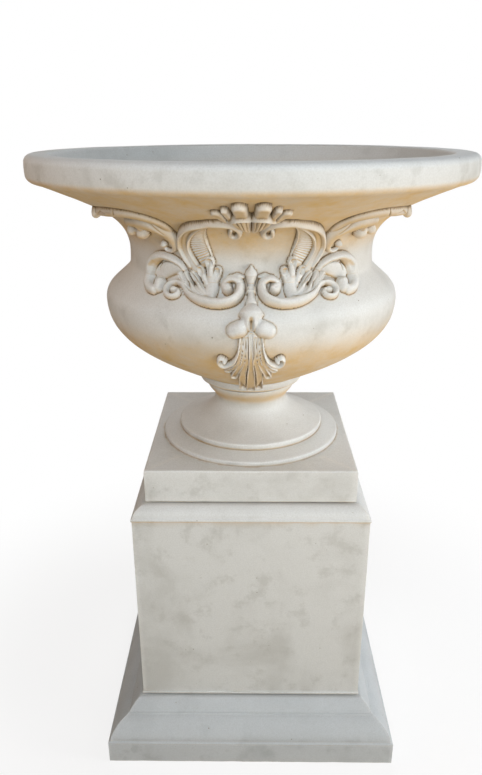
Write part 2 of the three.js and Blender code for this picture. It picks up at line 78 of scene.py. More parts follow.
HANDLE_SHARE = 0.55
WELD, SLIVER = 1e-3, 1e-4
MITRE_SLACK, SHALLOWEST_MITRE = 0.01, 0.2
LATTICE_SHIFT = 0.37
EDGE_RISE = 9.0

# The sizes of broad and fine spots, and how much each of them counts
WEAR_SPOTS, WEAR_LEVEL, WEAR_BROAD, WEAR_FINE, WEAR_MOST = (34.0, 9.0), 0.35, 0.9, 0.6, 1.3
WAVER_SPOTS, WAVER_FINE = (95.0, 22.0), 0.35
WEAR_SHIFT, WAVER_SHIFT = Vector((517.0, 291.0, 83.0)), Vector((311.0, 97.0, 205.0))

SECTION_STEP, SECTION_BLURS, FULL_DEPTH, MITRE_WIDTH = 2.0, 25, 5.0, 4.0
BATCHES = 64


def curve(start: Point, leave: Point, arrive: Point, end: Point, steps: int = 16) -> Outline:
    """Gives the points of a curve, without its first.

    Args:
        start: where the curve starts.
        leave: the handle it leaves the start by.
        arrive: the handle it comes to the end by.
        end: where it ends.
        steps: how many points it has.

    Returns:
        The points after the start, the end among them.
    """
    knots = [Vector((*place, 0.0)) for place in (start, leave, arrive, end)]
    return [(p.x, p.y) for p in interpolate_bezier(*knots, steps + 1)[1:]]


def rounded(corners: Sequence[tuple[float, ...]], steps: int = 3) -> Outline:
    """Rounds the corners of a closed outline that give a third number, the radius.

    Args:
        corners: the outline's corners as (distance, level) or (distance, level, radius).
        steps: the points on each rounded corner.

    Returns:
        The outline with its corners rounded.
    """
    outline: Outline = []
    for index, (distance, level, *radius) in enumerate(corners):
        here = Vector((distance, level))
        if not radius:
            outline.append((distance, level))
            continue
        before = Vector(corners[index - 1][:2])
        after = Vector(corners[(index + 1) % len(corners)][:2])
        start = here + (before - here).normalized() * radius[0]
        end = here + (after - here).normalized() * radius[0]
        outline.append((start.x, start.y))
        handles = (tuple(start.lerp(here, HANDLE_SHARE)), tuple(end.lerp(here, HANDLE_SHARE)))
        outline += curve(tuple(start), *handles, tuple(end), steps)
    return outline


def spaced(outline: Outline, step: float) -> Outline:
    """Adds points to a closed outline so that no stretch is longer than a step."""
    points: Outline = []
    for (x0, z0), (x1, z1) in zip(outline, outline[1:] + outline[:1]):
        count = max(1, math.ceil(math.dist((x0, z0), (x1, z1)) / step))
        points += [(x0 + (x1 - x0) * i / count, z0 + (z1 - z0) * i / count) for i in range(count)]
    return points


def turned(outline: Outline, sides: int, square: bool = False) -> BMesh:
    """Spins a closed outline round the vertical axis.

    Args:
        outline: distances from the axis and levels; half widths if square.
        sides: how many sides the turned piece has.
        square: makes a square course with mitred corners instead.

    Returns:
        A closed mesh.
    """
    bm = bmesh.new()
    verts = [bm.verts.new((distance, distance if square else 0.0, level)) for distance, level in outline]
    edges = [bm.edges.new(pair) for pair in zip(verts, verts[1:] + verts[:1])]
    bmesh.ops.spin(bm, geom=verts + edges, cent=(0, 0, 0), axis=(0, 0, 1), angle=math.tau,
                   steps=4 if square else sides, use_merge=True)
    bmesh.ops.remove_doubles(bm, verts=bm.verts, dist=WELD)
    bmesh.ops.dissolve_degenerate(bm, dist=SLIVER, edges=bm.edges)
    bmesh.ops.recalc_face_normals(bm, faces=bm.faces)
    return bm


def soften_mitres(bm: BMesh, radius: float) -> None:
    """Rounds the upright corners of a square course."""
    mitres = [
        edge for edge in bm.edges
        if all(abs(abs(v.co.x) - abs(v.co.y)) < MITRE_SLACK for v in edge.verts)
        and edge.is_manifold and edge.calc_face_angle() > SHALLOWEST_MITRE and edge.is_convex
    ]
    bmesh.ops.bevel(bm, geom=mitres, offset=radius, offset_type="OFFSET", segments=3, profile=0.5,
                    affect="EDGES", clamp_overlap=True, material=-1)


def cut_lattice(bm: BMesh, reach: float, pitch: float) -> None:
    """Cuts a course across both ways, so that its edges can be worn unevenly.

    Args:
        bm: the mesh to cut.
        reach: how far the cuts go on each side of the axis.
        pitch: the distance between two cuts.
    """
    count = int(reach / pitch)
    for direction in ((1, 0, 0), (0, 1, 0)):
        for index in range(-count, count + 1):
            place = Vector(direction) * (index + LATTICE_SHIFT) * pitch
            bmesh.ops.bisect_plane(bm, geom=bm.verts[:] + bm.edges[:] + bm.faces[:], dist=SLIVER,
                                   plane_co=place, plane_no=direction)


def spots(place: Vector, sizes: tuple[float, float]) -> tuple[float, float]:
    """Gives broad and fine noise at a place."""
    return noise.noise(place / sizes[0]), noise.noise(place / sizes[1])


def wear(bm: BMesh, depth: float, seed: float) -> None:
    """Rubs down the edges unevenly, and leaves the flat faces flat.

    Args:
        bm: the mesh to wear.
        depth: the most that is rubbed off an edge.
        seed: shifts the pattern from piece to piece.
    """
    bm.normal_update()
    shift = WEAR_SHIFT * seed
    for vert in bm.verts:
        flat = max(abs(part) for part in vert.normal)
        exposed = min(1.0, max(0.0, (1.0 - flat) * EDGE_RISE))
        if exposed:
            broad, fine = spots(vert.co + shift, WEAR_SPOTS)
            rubbed = max(0.0, WEAR_LEVEL + WEAR_BROAD * broad + WEAR_FINE * fine)
            vert.co -= vert.normal * depth * exposed * min(rubbed, WEAR_MOST) ** 2


def waver(bm: BMesh, amount: float, seed: float) -> None:
    """Moves a turned surface in and out a little, as a hand-finished mould leaves it."""
    bm.normal_update()
    shift = WAVER_SHIFT * seed
    for vert in bm.verts:
        broad, fine = spots(vert.co + shift, WAVER_SPOTS)
        vert.co += vert.normal * amount * (broad + WAVER_FINE * fine)


def as_object(bm: BMesh, name: str) -> Object:
    """Makes an object of a mesh in millimetres, smooth but for its sharp edges."""
    bmesh.ops.scale(bm, verts=bm.verts, vec=(MM, MM, MM))
    mesh = bpy.data.meshes.new(name)
    bm.to_mesh(mesh)
    bm.free()
    mesh.shade_smooth()
    mesh.set_sharp_from_angle(angle=SHARP_ANGLE)
    piece = bpy.data.objects.new(name, mesh)
    bpy.context.scene.collection.objects.link(piece)
    return piece


def square_course(name: str, outline: Outline, half: float, corner: float, rubbed: float, seed: float,
                  step: float = 14.0, pitch: float = 9.0) -> Object:
    """Makes a square course with softened corners and worn edges.

    Args:
        name: the object's name.
        outline: its section, as half widths and levels.
        half: half its width.
        corner: the radius of its upright corners.
        rubbed: the most that is worn off an edge.
        seed: shifts the pattern of the wear.
        step: the longest stretch of the section without a point.
        pitch: the distance between two cuts of the lattice.

    Returns:
        The object.
    """
    bm = turned(spaced(outline, step), 4, square=True)
    soften_mitres(bm, corner)
    cut_lattice(bm, half, pitch)
    wear(bm, rubbed, seed)
    return as_object(bm, name)


def combined(first: Object, *others: tuple[Object, str]) -> Object:
    """Joins solids to one, or cuts them from it, and removes what was used up.

    Args:
        first: the solid that is kept.
        others: each other solid with UNION or DIFFERENCE.

    Returns:
        The first object, with its mesh replaced by the result.
    """
    for other, operation in others:
        modifier = first.modifiers.new(operation.lower(), "BOOLEAN")
        modifier.solver = "MANIFOLD"
        modifier.operation = operation
        modifier.object = other
    bpy.context.view_layer.update()
    made = bpy.data.meshes.new_from_object(first.evaluated_get(bpy.context.evaluated_depsgraph_get()))
    first.modifiers.clear()
    first.data = made
    made.name = first.name
    made.shade_smooth()
    made.set_sharp_from_angle(angle=SHARP_ANGLE)
    for other, _ in others:
        bpy.data.objects.remove(other)
    return first


def places(mesh: Mesh) -> np.ndarray:
    """Gives a mesh's points in millimetres, one row each."""
    flat = np.empty(len(mesh.vertices) * 3)
    mesh.vertices.foreach_get("co", flat)
    return flat.reshape(-1, 3) / MM


def set_amounts(mesh: Mesh, name: str, amounts: np.ndarray) -> None:
    """Stores an amount from 0 to 1 at each point of a mesh."""
    layer = mesh.attributes.get(name) or mesh.attributes.new(name, "FLOAT", "POINT")
    layer.data.foreach_set("value", np.clip(amounts, 0, 1).astype(np.float32))


def get_amounts(mesh: Mesh, name: str) -> np.ndarray:
    """Gives the amounts that are stored at a mesh's points."""
    amounts = np.empty(len(mesh.vertices), np.float32)
    mesh.attributes[name].data.foreach_get("value", amounts)
    return amounts


def mark_outline(piece: Object, outline: Outline, square: bool = False) -> None:
    """Marks where a course is hollow or proud in section, for the grime and painted shade in its hollows and
    the wear of its finish.

    The outline is compared with a copy that is smoothed along its length: a point outside the smoothed line
    is proud, and one inside it is hollow. The upright corners of a square course are proud too.

    Args:
        piece: the object to mark.
        outline: its section.
        square: says that the section gives half widths.
    """
    line = np.array(spaced(outline, SECTION_STEP))
    smooth = line.copy()
    for _ in range(SECTION_BLURS):
        smooth = (np.roll(smooth, 1, 0) + 2 * smooth + np.roll(smooth, -1, 0)) / 4
    along = np.roll(line, -1, 0) - np.roll(line, 1, 0)
    size = np.maximum(np.linalg.norm(along, axis=1), 1e-6)
    outwards = np.stack([along[:, 1], -along[:, 0]], 1) / size[:, None]
    area = np.sum(line[:, 0] * np.roll(line[:, 1], -1) - np.roll(line[:, 0], -1) * line[:, 1])
    depth = np.sum((smooth - line) * outwards, 1) * np.sign(area)

    at = places(piece.data)
    sides = np.abs(at[:, :2])
    distance = sides.max(1) if square else np.hypot(at[:, 0], at[:, 1])
    section = np.stack([distance, at[:, 2]], 1)
    nearest = np.concatenate([
        np.argmin(((part[:, None, :] - line[None]) ** 2).sum(2), 1)
        for part in np.array_split(section, BATCHES)
    ])
    proud = np.maximum(-depth[nearest], 0) / FULL_DEPTH
    if square:
        proud = proud + np.exp(-(((sides[:, 0] - sides[:, 1]) / MITRE_WIDTH) ** 2))
    # The recess amount darkens the hollows: partly grime, partly painted shade
    set_amounts(piece.data, "recess", np.maximum(depth[nearest], 0) / FULL_DEPTH)
    set_amounts(piece.data, "edge", proud)


# Finishes

FACTOR, COLOUR_A, COLOUR_B, COLOUR_RESULT = 0, 6, 7, 2


def linear(colour: str) -> tuple[float, float, float, float]:
    """Turns an sRGB hex colour to linear values with an alpha of 1."""
    shares = [int(colour[i:i + 2], 16) / 255 for i in (1, 3, 5)]
    return (*(s / 12.92 if s <= 0.04045 else ((s + 0.055) / 1.055) ** 2.4 for s in shares), 1.0)


def add_node(tree: NodeTree, kind: str, settings: dict | None = None,
             links: dict | None = None) -> Node:
    """Adds a node.

    Args:
        tree: the node tree it goes into.
        kind: the node's type.
        settings: its properties, and by name or number the values of its inputs.
        links: the output that feeds each input, by name or number.

    Returns:
        The new node.
    """
    node = tree.nodes.new(kind)
    for key, value in (settings or {}).items():
        if isinstance(key, str) and hasattr(node, key):
            setattr(node, key, value)
        else:
            node.inputs[key].default_value = value
    for key, output in (links or {}).items():
        tree.links.new(output, node.inputs[key])
    return node


def noise_spots(tree: NodeTree, at: NodeSocket, size: float, detail: float,
                roughness: float, distortion: float = 0.0) -> NodeSocket:
    """Gives noise whose spots have a size in millimetres."""
    return add_node(tree, "ShaderNodeTexNoise", {
        "Scale": 1 / (size * MM), "Detail": detail, "Roughness": roughness, "Distortion": distortion},
        {"Vector": at}).outputs["Fac"]


def ranged(tree: NodeTree, value: NodeSocket, limits: Point, most: float = 1.0,
           least: float = 0.0, smooth: bool = False) -> NodeSocket:
    """Turns a value between two limits to an amount between the least and the most."""
    return add_node(tree, "ShaderNodeMapRange", {
        "interpolation_type": "SMOOTHSTEP" if smooth else "LINEAR",
        "From Min": limits[0], "From Max": limits[1], "To Min": least, "To Max": most},
        {"Value": value}).outputs["Result"]


def product(tree: NodeTree, first: NodeSocket,
            second: NodeSocket) -> NodeSocket:
    """Multiplies two outputs."""
    return add_node(tree, "ShaderNodeMath", {"operation": "MULTIPLY"}, {0: first, 1: second}).outputs[0]


def seen_directly(tree: NodeTree, path: Node) -> NodeSocket:
    """Gives 1 for rays from the camera and for reflections."""
    return add_node(tree, "ShaderNodeMath", {"operation": "MAXIMUM"}, {
        0: path.outputs["Is Camera Ray"], 1: path.outputs["Is Glossy Ray"]}).outputs[0]


def new_material(name: str) -> tuple[Material, NodeTree]:
    """Makes a material with an empty node tree."""
    material = bpy.data.materials.new(name)
    material.use_nodes = True
    material.node_tree.nodes.clear()
    return material, material.node_tree


@dataclass(frozen=True)
class CastStone:
    """Reconstituted stone, wet-cast in a mould and left outside: matt, sandy, with pinholes and a brown wash.

    The wash lies in recesses and on undersides, and a chalky coating on what faces the sky. Both also paint
    light: recesses and undersides are darkened and warmed as painted shade and painted warm bounce light,
    and what faces the sky is lightened and cooled as painted sky light.
    """

    name: str
    body: str = "#d0d0cc"
    cloud: str = "#a5a39b"
    # Chalky coating on upward faces, which also paints sky light on them
    film_and_sky_light: str = "#e2e7e9"
    # Tan: on undersides partly a sheltered wash, partly painted shade and warm bounce light
    tan: str = "#cba45e"
    # Dark brown deep in recesses: partly grime, partly painted shade
    dirt_and_shade: str = "#54401e"
    worn: str = "#e6e6e2"
    pit: str = "#857a66"
    cloud_size: float = 150.0
    cloud_range: Point = (0.44, 0.70)
    cloud_strength: float = 0.5
    patches_per_cloud: float = 3.4
    patch_range: Point = (0.52, 0.69)
    patch_strength: float = 0.42
    film_and_sky_light_range: Point = (-0.15, 0.55)
    film_and_sky_light_strength: float = 0.6
    under_range: Point = (0.02, -0.75)
    tan_strength: float = 0.82
    wash_and_shade_range: Point = (0.1, 0.9)
    wash_and_shade_strength: float = 0.55
    recess_range: Point = (0.3, 1.0)
    recess_strength: float = 0.8
    uneven_range: Point = (0.3, 0.7)
    uneven_least: float = 0.65
    uneven_most: float = 1.15
    worn_strength: float = 0.5
    grain_size: float = 2.6
    grain_range: Point = (0.35, 0.7)
    grain_strength: float = 0.22
    pit_spacing: float = 24.0
    pit_radius: float = 1.5
    pit_core: float = 0.4
    pit_groups: Point = (0.5, 0.56)
    roughness: float = 0.82

    def material(self) -> Material:
        """Builds the stone's nodes."""
        material, tree = new_material(self.name)
        at = add_node(tree, "ShaderNodeTexCoord").outputs["Object"]
        facing = add_node(tree, "ShaderNodeSeparateXYZ", links={
            0: add_node(tree, "ShaderNodeNewGeometry").outputs["Normal"]}).outputs["Z"]
        recess, edge = (add_node(tree, "ShaderNodeAttribute", {"attribute_name": name}).outputs["Fac"]
                        for name in ("recess", "edge"))

        # Clouds as wide as a hand, softer ones a third as wide, and sand
        cloud = noise_spots(tree, at, self.cloud_size, 4.0, 0.55, 0.4)
        patch = noise_spots(tree, at, self.cloud_size / self.patches_per_cloud, 5.0, 0.62)
        sand = noise_spots(tree, at, self.grain_size, 2.0, 0.6)

        clouded = ranged(tree, cloud, self.cloud_range, self.cloud_strength, smooth=True)
        patched = ranged(tree, patch, self.patch_range, self.patch_strength, smooth=True)
        # Upward faces lighter and cooler: partly a chalky coating, partly painted sky light
        filmed_and_sky_lit = ranged(tree, facing, self.film_and_sky_light_range, self.film_and_sky_light_strength, smooth=True)
        # Undersides warmed and darkened with tan: partly sheltered wash, partly painted shade and warm bounce
        # light
        under = ranged(tree, facing, self.under_range, self.tan_strength, smooth=True)
        uneven = ranged(tree, patch, self.uneven_range, self.uneven_most, self.uneven_least)
        tanned = product(tree, under, uneven)
        # Recesses washed tan and, deeper in, dark brown: partly real wash and grime, partly painted shade in
        # the hollows
        washed_and_shaded = ranged(tree, recess, self.wash_and_shade_range, self.wash_and_shade_strength, smooth=True)
        sunk = ranged(tree, recess, self.recess_range, self.recess_strength, smooth=True)
        dirtied_and_shaded = product(tree, sunk, uneven)
        rubbed = ranged(tree, edge, (0.0, 1.0), self.worn_strength)
        sandy = ranged(tree, sand, self.grain_range, self.grain_strength)

        # Pinholes where air bubbles lay against the mould, in loose groups
        cell = add_node(tree, "ShaderNodeTexVoronoi", {"Scale": 1 / (self.pit_spacing * MM)}, {"Vector": at})
        share = self.pit_radius / self.pit_spacing
        hole = ranged(tree, cell.outputs["Distance"], (share, self.pit_core * share))
        pitted = product(tree, hole, ranged(tree, patch, self.pit_groups))

        tone = add_node(tree, "ShaderNodeRGB").outputs[0]
        tone.default_value = linear(self.body)
        layers = (
            (self.cloud, clouded), (self.cloud, patched), (self.film_and_sky_light, filmed_and_sky_lit),
            (self.tan, tanned), (self.tan, washed_and_shaded), (self.dirt_and_shade, dirtied_and_shaded),
            (self.worn, rubbed), (self.cloud, sandy), (self.pit, pitted),
        )
        for colour, amount in layers:
            tone = add_node(tree, "ShaderNodeMix", {"data_type": "RGBA", COLOUR_B: linear(colour)},
                            {FACTOR: amount, COLOUR_A: tone}).outputs[COLOUR_RESULT]

        lumps = add_node(tree, "ShaderNodeBump", {"Strength": 0.35, "Distance": 0.6 * MM}, {"Height": sand})
        holes = add_node(tree, "ShaderNodeBump", {"Strength": 0.8, "Distance": 1.2 * MM, "invert": True},
                         {"Height": pitted, "Normal": lumps.outputs["Normal"]})
        surface = add_node(tree, "ShaderNodeBsdfPrincipled", {"Roughness": self.roughness, "IOR": 1.5},
                           {"Base Color": tone, "Normal": holes.outputs["Normal"]})
        add_node(tree, "ShaderNodeOutputMaterial", links={"Surface": surface.outputs["BSDF"]})
        return material


@dataclass(frozen=True)
class GrittyPaste:
    """A matt filler with sand in it: lime mortar raked back from a joint, or black rubber with dust on it."""

    name: str
    body: str
    light: str
    grain_size: float
    roughness: float
    grain_range: Point = (0.4, 0.75)
    grain_strength: float = 0.6

    def material(self) -> Material:
        """Builds the paste's nodes."""
        material, tree = new_material(self.name)
        at = add_node(tree, "ShaderNodeTexCoord").outputs["Object"]
        sand = noise_spots(tree, at, self.grain_size, 4.0, 0.65)
        share = ranged(tree, sand, self.grain_range, self.grain_strength)
        tone = add_node(tree, "ShaderNodeMix", {
            "data_type": "RGBA", COLOUR_A: linear(self.body), COLOUR_B: linear(self.light)}, {FACTOR: share})
        lumps = add_node(tree, "ShaderNodeBump", {"Strength": 0.5, "Distance": 0.5 * MM}, {"Height": sand})
        surface = add_node(tree, "ShaderNodeBsdfPrincipled", {"Roughness": self.roughness}, {
            "Base Color": tone.outputs[COLOUR_RESULT], "Normal": lumps.outputs["Normal"]})
        add_node(tree, "ShaderNodeOutputMaterial", links={"Surface": surface.outputs["BSDF"]})
        return material


@dataclass(frozen=True)
class GalvanisedSteel:
    """Hot-dip galvanised steel: a grey metal with flat crystals a few millimetres wide, dulled by moisture.
    """

    name: str
    zinc: str = "#a9acac"
    dull: str = "#7f8483"
    crystal_size: float = 6.0
    smoothest: float = 0.38
    roughest: float = 0.62

    def material(self) -> Material:
        """Builds the metal's nodes."""
        material, tree = new_material(self.name)
        at = add_node(tree, "ShaderNodeTexCoord").outputs["Object"]
        crystal = add_node(tree, "ShaderNodeTexVoronoi", {"Scale": 1 / (self.crystal_size * MM)},
                           {"Vector": at})
        share = add_node(tree, "ShaderNodeSeparateXYZ", links={0: crystal.outputs["Color"]}).outputs[0]
        tone = add_node(tree, "ShaderNodeMix", {
            "data_type": "RGBA", COLOUR_A: linear(self.zinc), COLOUR_B: linear(self.dull)}, {FACTOR: share})
        matt = ranged(tree, share, (0.0, 1.0), self.roughest, self.smoothest)
        surface = add_node(tree, "ShaderNodeBsdfPrincipled", {"Metallic": 1.0}, {
            "Base Color": tone.outputs[COLOUR_RESULT], "Roughness": matt})
        add_node(tree, "ShaderNodeOutputMaterial", links={"Surface": surface.outputs["BSDF"]})
        return material


def dress(piece: Object, material: Material) -> None:
    """Gives a piece one material all over."""
    piece.data.materials.clear()
    piece.data.materials.append(material)


def install(piece: Object, node: str, body: str, material: Material) -> None:
    """Puts a finished piece in the place of its CAD node.

    Args:
        piece: the new object.
        node: the node it stands for.
        body: the body it rides on.
        material: its finish.
    """
    dress(piece, material)
    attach(piece, body)
    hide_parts(node)
    log.info("%s: %d faces", piece.name, len(piece.data.polygons))


def levels(node: str) -> tuple[float, float]:
    """Gives the bottom and top of a CAD node in millimetres."""
    low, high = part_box(node)
    return low.z / MM, high.z / MM


def half_width(node: str) -> float:
    """Gives half the width of a CAD node in millimetres."""
    low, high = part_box(node)
    return (high.x - low.x) / 2 / MM


# Pedestal

@dataclass
class Pedestal:
    """The moulded base course and the square die that stands on it."""

    plinth_height: float = 54.0
    fillet_setback: float = 38.0
    top_setback: float = 60.0
    upper_moulding: float = 21.0
    base_opening: float = 185.0
    die_wall: float = 40.0
    die_slab: float = 42.0
    drain_radius: float = 25.0
    drain_sides: int = 48
    lip: float = 2.0
    lip_height: float = 6.0
    moulding_height: float = 20.0
    moulding_setback: float = 20.0
    corner: float = 2.2
    edge_wear: float = 1.0
    die_corner: float = 2.4
    die_edge_wear: float = 0.9
    base: tuple[float, float] = field(default_factory=lambda: levels("pedestal_base"))
    die: tuple[float, float] = field(default_factory=lambda: levels("pedestal_die"))

    def base_outline(self) -> Outline:
        """Gives the section of the base: a plinth, a bead, an ovolo, a fillet and a cove."""
        bottom, top = self.base
        face = half_width("pedestal_base")
        plinth = bottom + self.plinth_height
        fillet = face - self.fillet_setback
        fillet_level = top - self.upper_moulding
        head = face - self.top_setback
        return [
            *rounded([(self.base_opening, top), (self.base_opening, bottom), (face, bottom, 2.0),
                      (face, plinth - 6, 1.2)])[:-1],
            *curve((face, plinth - 7), (face + 0.8, plinth - 4), (face + 0.4, plinth), (face - 3, plinth), 4),
            (face - 4.2, plinth + 0.4),
            *curve((face - 4.2, plinth + 0.4), (face - 5, plinth + 17),
                   (fillet + 16, fillet_level - 7), (fillet + 2.2, fillet_level - 3.6), 14),
            (fillet + 0.6, fillet_level - 2.6),
            (fillet, fillet_level - 0.8),
            (fillet - 3, fillet_level - 0.2),
            *curve((fillet - 3.4, fillet_level), (fillet - 7, fillet_level + 9),
                   (head + 7, top - 5), (head, top - 0.6), 12),
            (head - 2, top),
        ]

    def die_outline(self) -> Outline:
        """Gives the section of the die, with a lip at its foot and a rounded moulding at its head."""
        bottom, top = self.die
        proud = half_width("pedestal_die")
        face = proud - self.lip
        inside = face - self.die_wall
        foot = bottom + self.lip_height
        shoulder = top - self.moulding_height
        neck = shoulder - self.lip_height
        underside = top - self.die_slab
        head = face - self.moulding_setback
        return [
            (0.0, top),
            (0.0, underside),
            (inside, underside),
            (inside, bottom),
            *rounded([(inside, bottom), (proud, bottom, 1.2), (proud, foot, 1.6)])[1:],
            *curve((face + 1.2, foot + 0.6), (face + 0.2, foot + 1), (face, foot + 1.6), (face, foot + 3), 3),
            (face, neck - 2),
            *curve((face, neck - 2), (face + 0.1, neck - 1), (proud, neck), (proud, shoulder - 4), 4),
            *curve((proud, shoulder - 4), (proud, shoulder - 1),
                   (face + 1, shoulder - 0.5), (face - 0.4, shoulder - 0.2), 4),
            *curve((face - 1.6, shoulder + 0.4), (face - 1.4, shoulder + self.moulding_height * 0.5),
                   (head + 9, top - 1.6), (head + 1, top - 0.3), 12),
            (head - 3, top),
        ]

    def build_base(self, stone: Material) -> None:
        """Builds the base course."""
        outline = self.base_outline()
        piece = square_course("moulded_base_course", outline, half_width("pedestal_base"),
                              self.corner, self.edge_wear, seed=1.0)
        mark_outline(piece, outline, square=True)
        install(piece, "pedestal_base", PEDESTAL, stone)

    def build_die(self, stone: Material) -> None:
        """Builds the die, with the drain hole in its top."""
        outline = self.die_outline()
        piece = square_course("square_die", outline, half_width("pedestal_die"),
                              self.die_corner, self.die_edge_wear, seed=2.0)
        low, high = self.die[1] - self.die_slab - 2, self.die[1] + 2
        drain = turned([(0.0, low), (self.drain_radius, low), (self.drain_radius, high), (0.0, high)],
                       self.drain_sides)
        combined(piece, (as_object(drain, "drain_cutter"), "DIFFERENCE"))
        mark_outline(piece, outline, square=True)
        install(piece, "pedestal_die", PEDESTAL, stone)


# Urn foot

@dataclass
class Foot:
    """One casting: a square plinth, two turned discs and the flared socle, hollow underneath."""

    plinth_height: float = 68.0
    recess_half: float = 176.0
    wall: float = 30.0
    lower_radius: float = 187.0
    lower_height: float = 9.0
    lower_rise: float = 8.0
    upper_radius: float = 152.0
    upper_height: float = 13.0
    neck_radius: float = 76.0
    neck_drop: float = 34.0
    top_radius: float = 92.0
    core_height: float = 78.0
    cavity_radius: float = 122.0
    ceiling_radius: float = 46.0
    hole_radius: float = 18.0
    corner: float = 2.6
    edge_wear: float = 1.2
    unevenness: float = 0.45
    outline_step: float = 9.0
    sides: int = 240
    cutter_sides: int = 96
    span: tuple[float, float] = field(default_factory=lambda: levels("urn_foot"))

    def plinth_outline(self) -> Outline:
        """Gives the section of the square plinth."""
        bottom = self.span[0]
        top = bottom + self.plinth_height
        half = half_width("urn_foot")
        underside = top - self.wall
        return rounded([
            (0.0, top), (0.0, underside), (self.recess_half, underside), (self.recess_half, bottom),
            (half, bottom, 2.0), (half, top, 3.0),
        ])

    def socle_outline(self) -> Outline:
        """Gives the section of the discs and the socle, down to just inside the plinth."""
        top = self.span[1]
        plinth_top = self.span[0] + self.plinth_height
        lower_top = plinth_top + self.lower_height
        upper_foot = lower_top + self.lower_rise
        upper_top = upper_foot + self.upper_height
        neck = top - self.neck_drop
        swell = neck - upper_top
        lower, upper, slim, head = self.lower_radius, self.upper_radius, self.neck_radius, self.top_radius
        return [
            (0.0, top),
            (0.0, plinth_top - 3),
            (lower, plinth_top - 3),
            (lower, lower_top - 4),
            *curve((lower, lower_top - 4), (lower, lower_top - 1),
                   (lower - 2, lower_top + 0.4), (lower - 5, lower_top + 0.8), 5),
            *curve((lower - 5, lower_top + 0.8), (lower - 14, lower_top + 3.2),
                   (upper + 8, upper_foot - 0.4), (upper - 1.5, upper_foot - 0.2), 6),
            *curve((upper - 2, upper_foot + 0.6), (upper - 1.4, upper_foot + 1.4),
                   (upper, upper_foot + 2), (upper, upper_foot + 4), 3),
            (upper, upper_top - 4),
            *curve((upper, upper_top - 4), (upper, upper_top - 1),
                   (upper - 2, upper_top - 0.2), (upper - 5, upper_top + 0.4), 5),
            *curve((upper - 5, upper_top + 0.4), (slim + 16, upper_top + swell * 0.33),
                   (slim, neck - swell * 0.35), (slim, neck), 22),
            *curve((slim, neck), (slim, neck + self.neck_drop * 0.4),
                   (head - 1, top - self.neck_drop * 0.5), (head, top - 1.2), 12),
            (head - 1.2, top),
        ]

    def cutter_outline(self) -> Outline:
        """Gives the section of the hollow under the socle and of the hole for the drain tube."""
        bottom, top = self.span
        plinth_top = bottom + self.plinth_height
        shoulder = plinth_top + self.lower_height + self.lower_rise - self.wall / 2
        ceiling = top - self.core_height
        return [
            (0.0, bottom + self.wall), (self.cavity_radius, bottom + self.wall),
            (self.cavity_radius, shoulder), (self.ceiling_radius, ceiling),
            (self.hole_radius, ceiling), (self.hole_radius, top + 2), (0.0, top + 2),
        ]

    def build(self, stone: Material) -> None:
        """Builds the foot."""
        piece = square_course("foot_and_plinth", self.plinth_outline(), half_width("urn_foot"),
                              self.corner, self.edge_wear, seed=3.0, step=16.0, pitch=10.0)
        socle_bm = turned(spaced(self.socle_outline(), self.outline_step), self.sides)
        waver(socle_bm, self.unevenness, seed=4.0)
        socle = as_object(socle_bm, "socle_blank")
        cutter = as_object(turned(self.cutter_outline(), self.cutter_sides), "hollow_cutter")
        combined(piece, (socle, "UNION"), (cutter, "DIFFERENCE"))
        self.mark(piece)
        install(piece, "urn_foot", URN, stone)

    def mark(self, piece: Object) -> None:
        """Marks the hollows and edges of the plinth and the turned part, each from its own section."""
        mark_outline(piece, self.plinth_outline(), square=True)
        of_plinth = {name: get_amounts(piece.data, name) for name in ("recess", "edge")}
        plinth_top = self.span[0] + self.plinth_height
        half = half_width("urn_foot")
        ground = plinth_top - 60
        mark_outline(piece, [
            (0.0, ground), (half, ground), (half, plinth_top), (self.lower_radius, plinth_top),
            *self.socle_outline()[3:-1], (0.0, self.span[1]),
        ])
        at = places(piece.data)
        away = np.hypot(at[:, 0], at[:, 1]) > self.lower_radius + 14
        on_plinth = (at[:, 2] < plinth_top - 0.5) | ((np.abs(at[:, 2] - plinth_top) <= 0.5) & away)
        for name, amounts in of_plinth.items():
            set_amounts(piece.data, name, np.where(on_plinth, amounts, get_amounts(piece.data, name)))


# Bowl

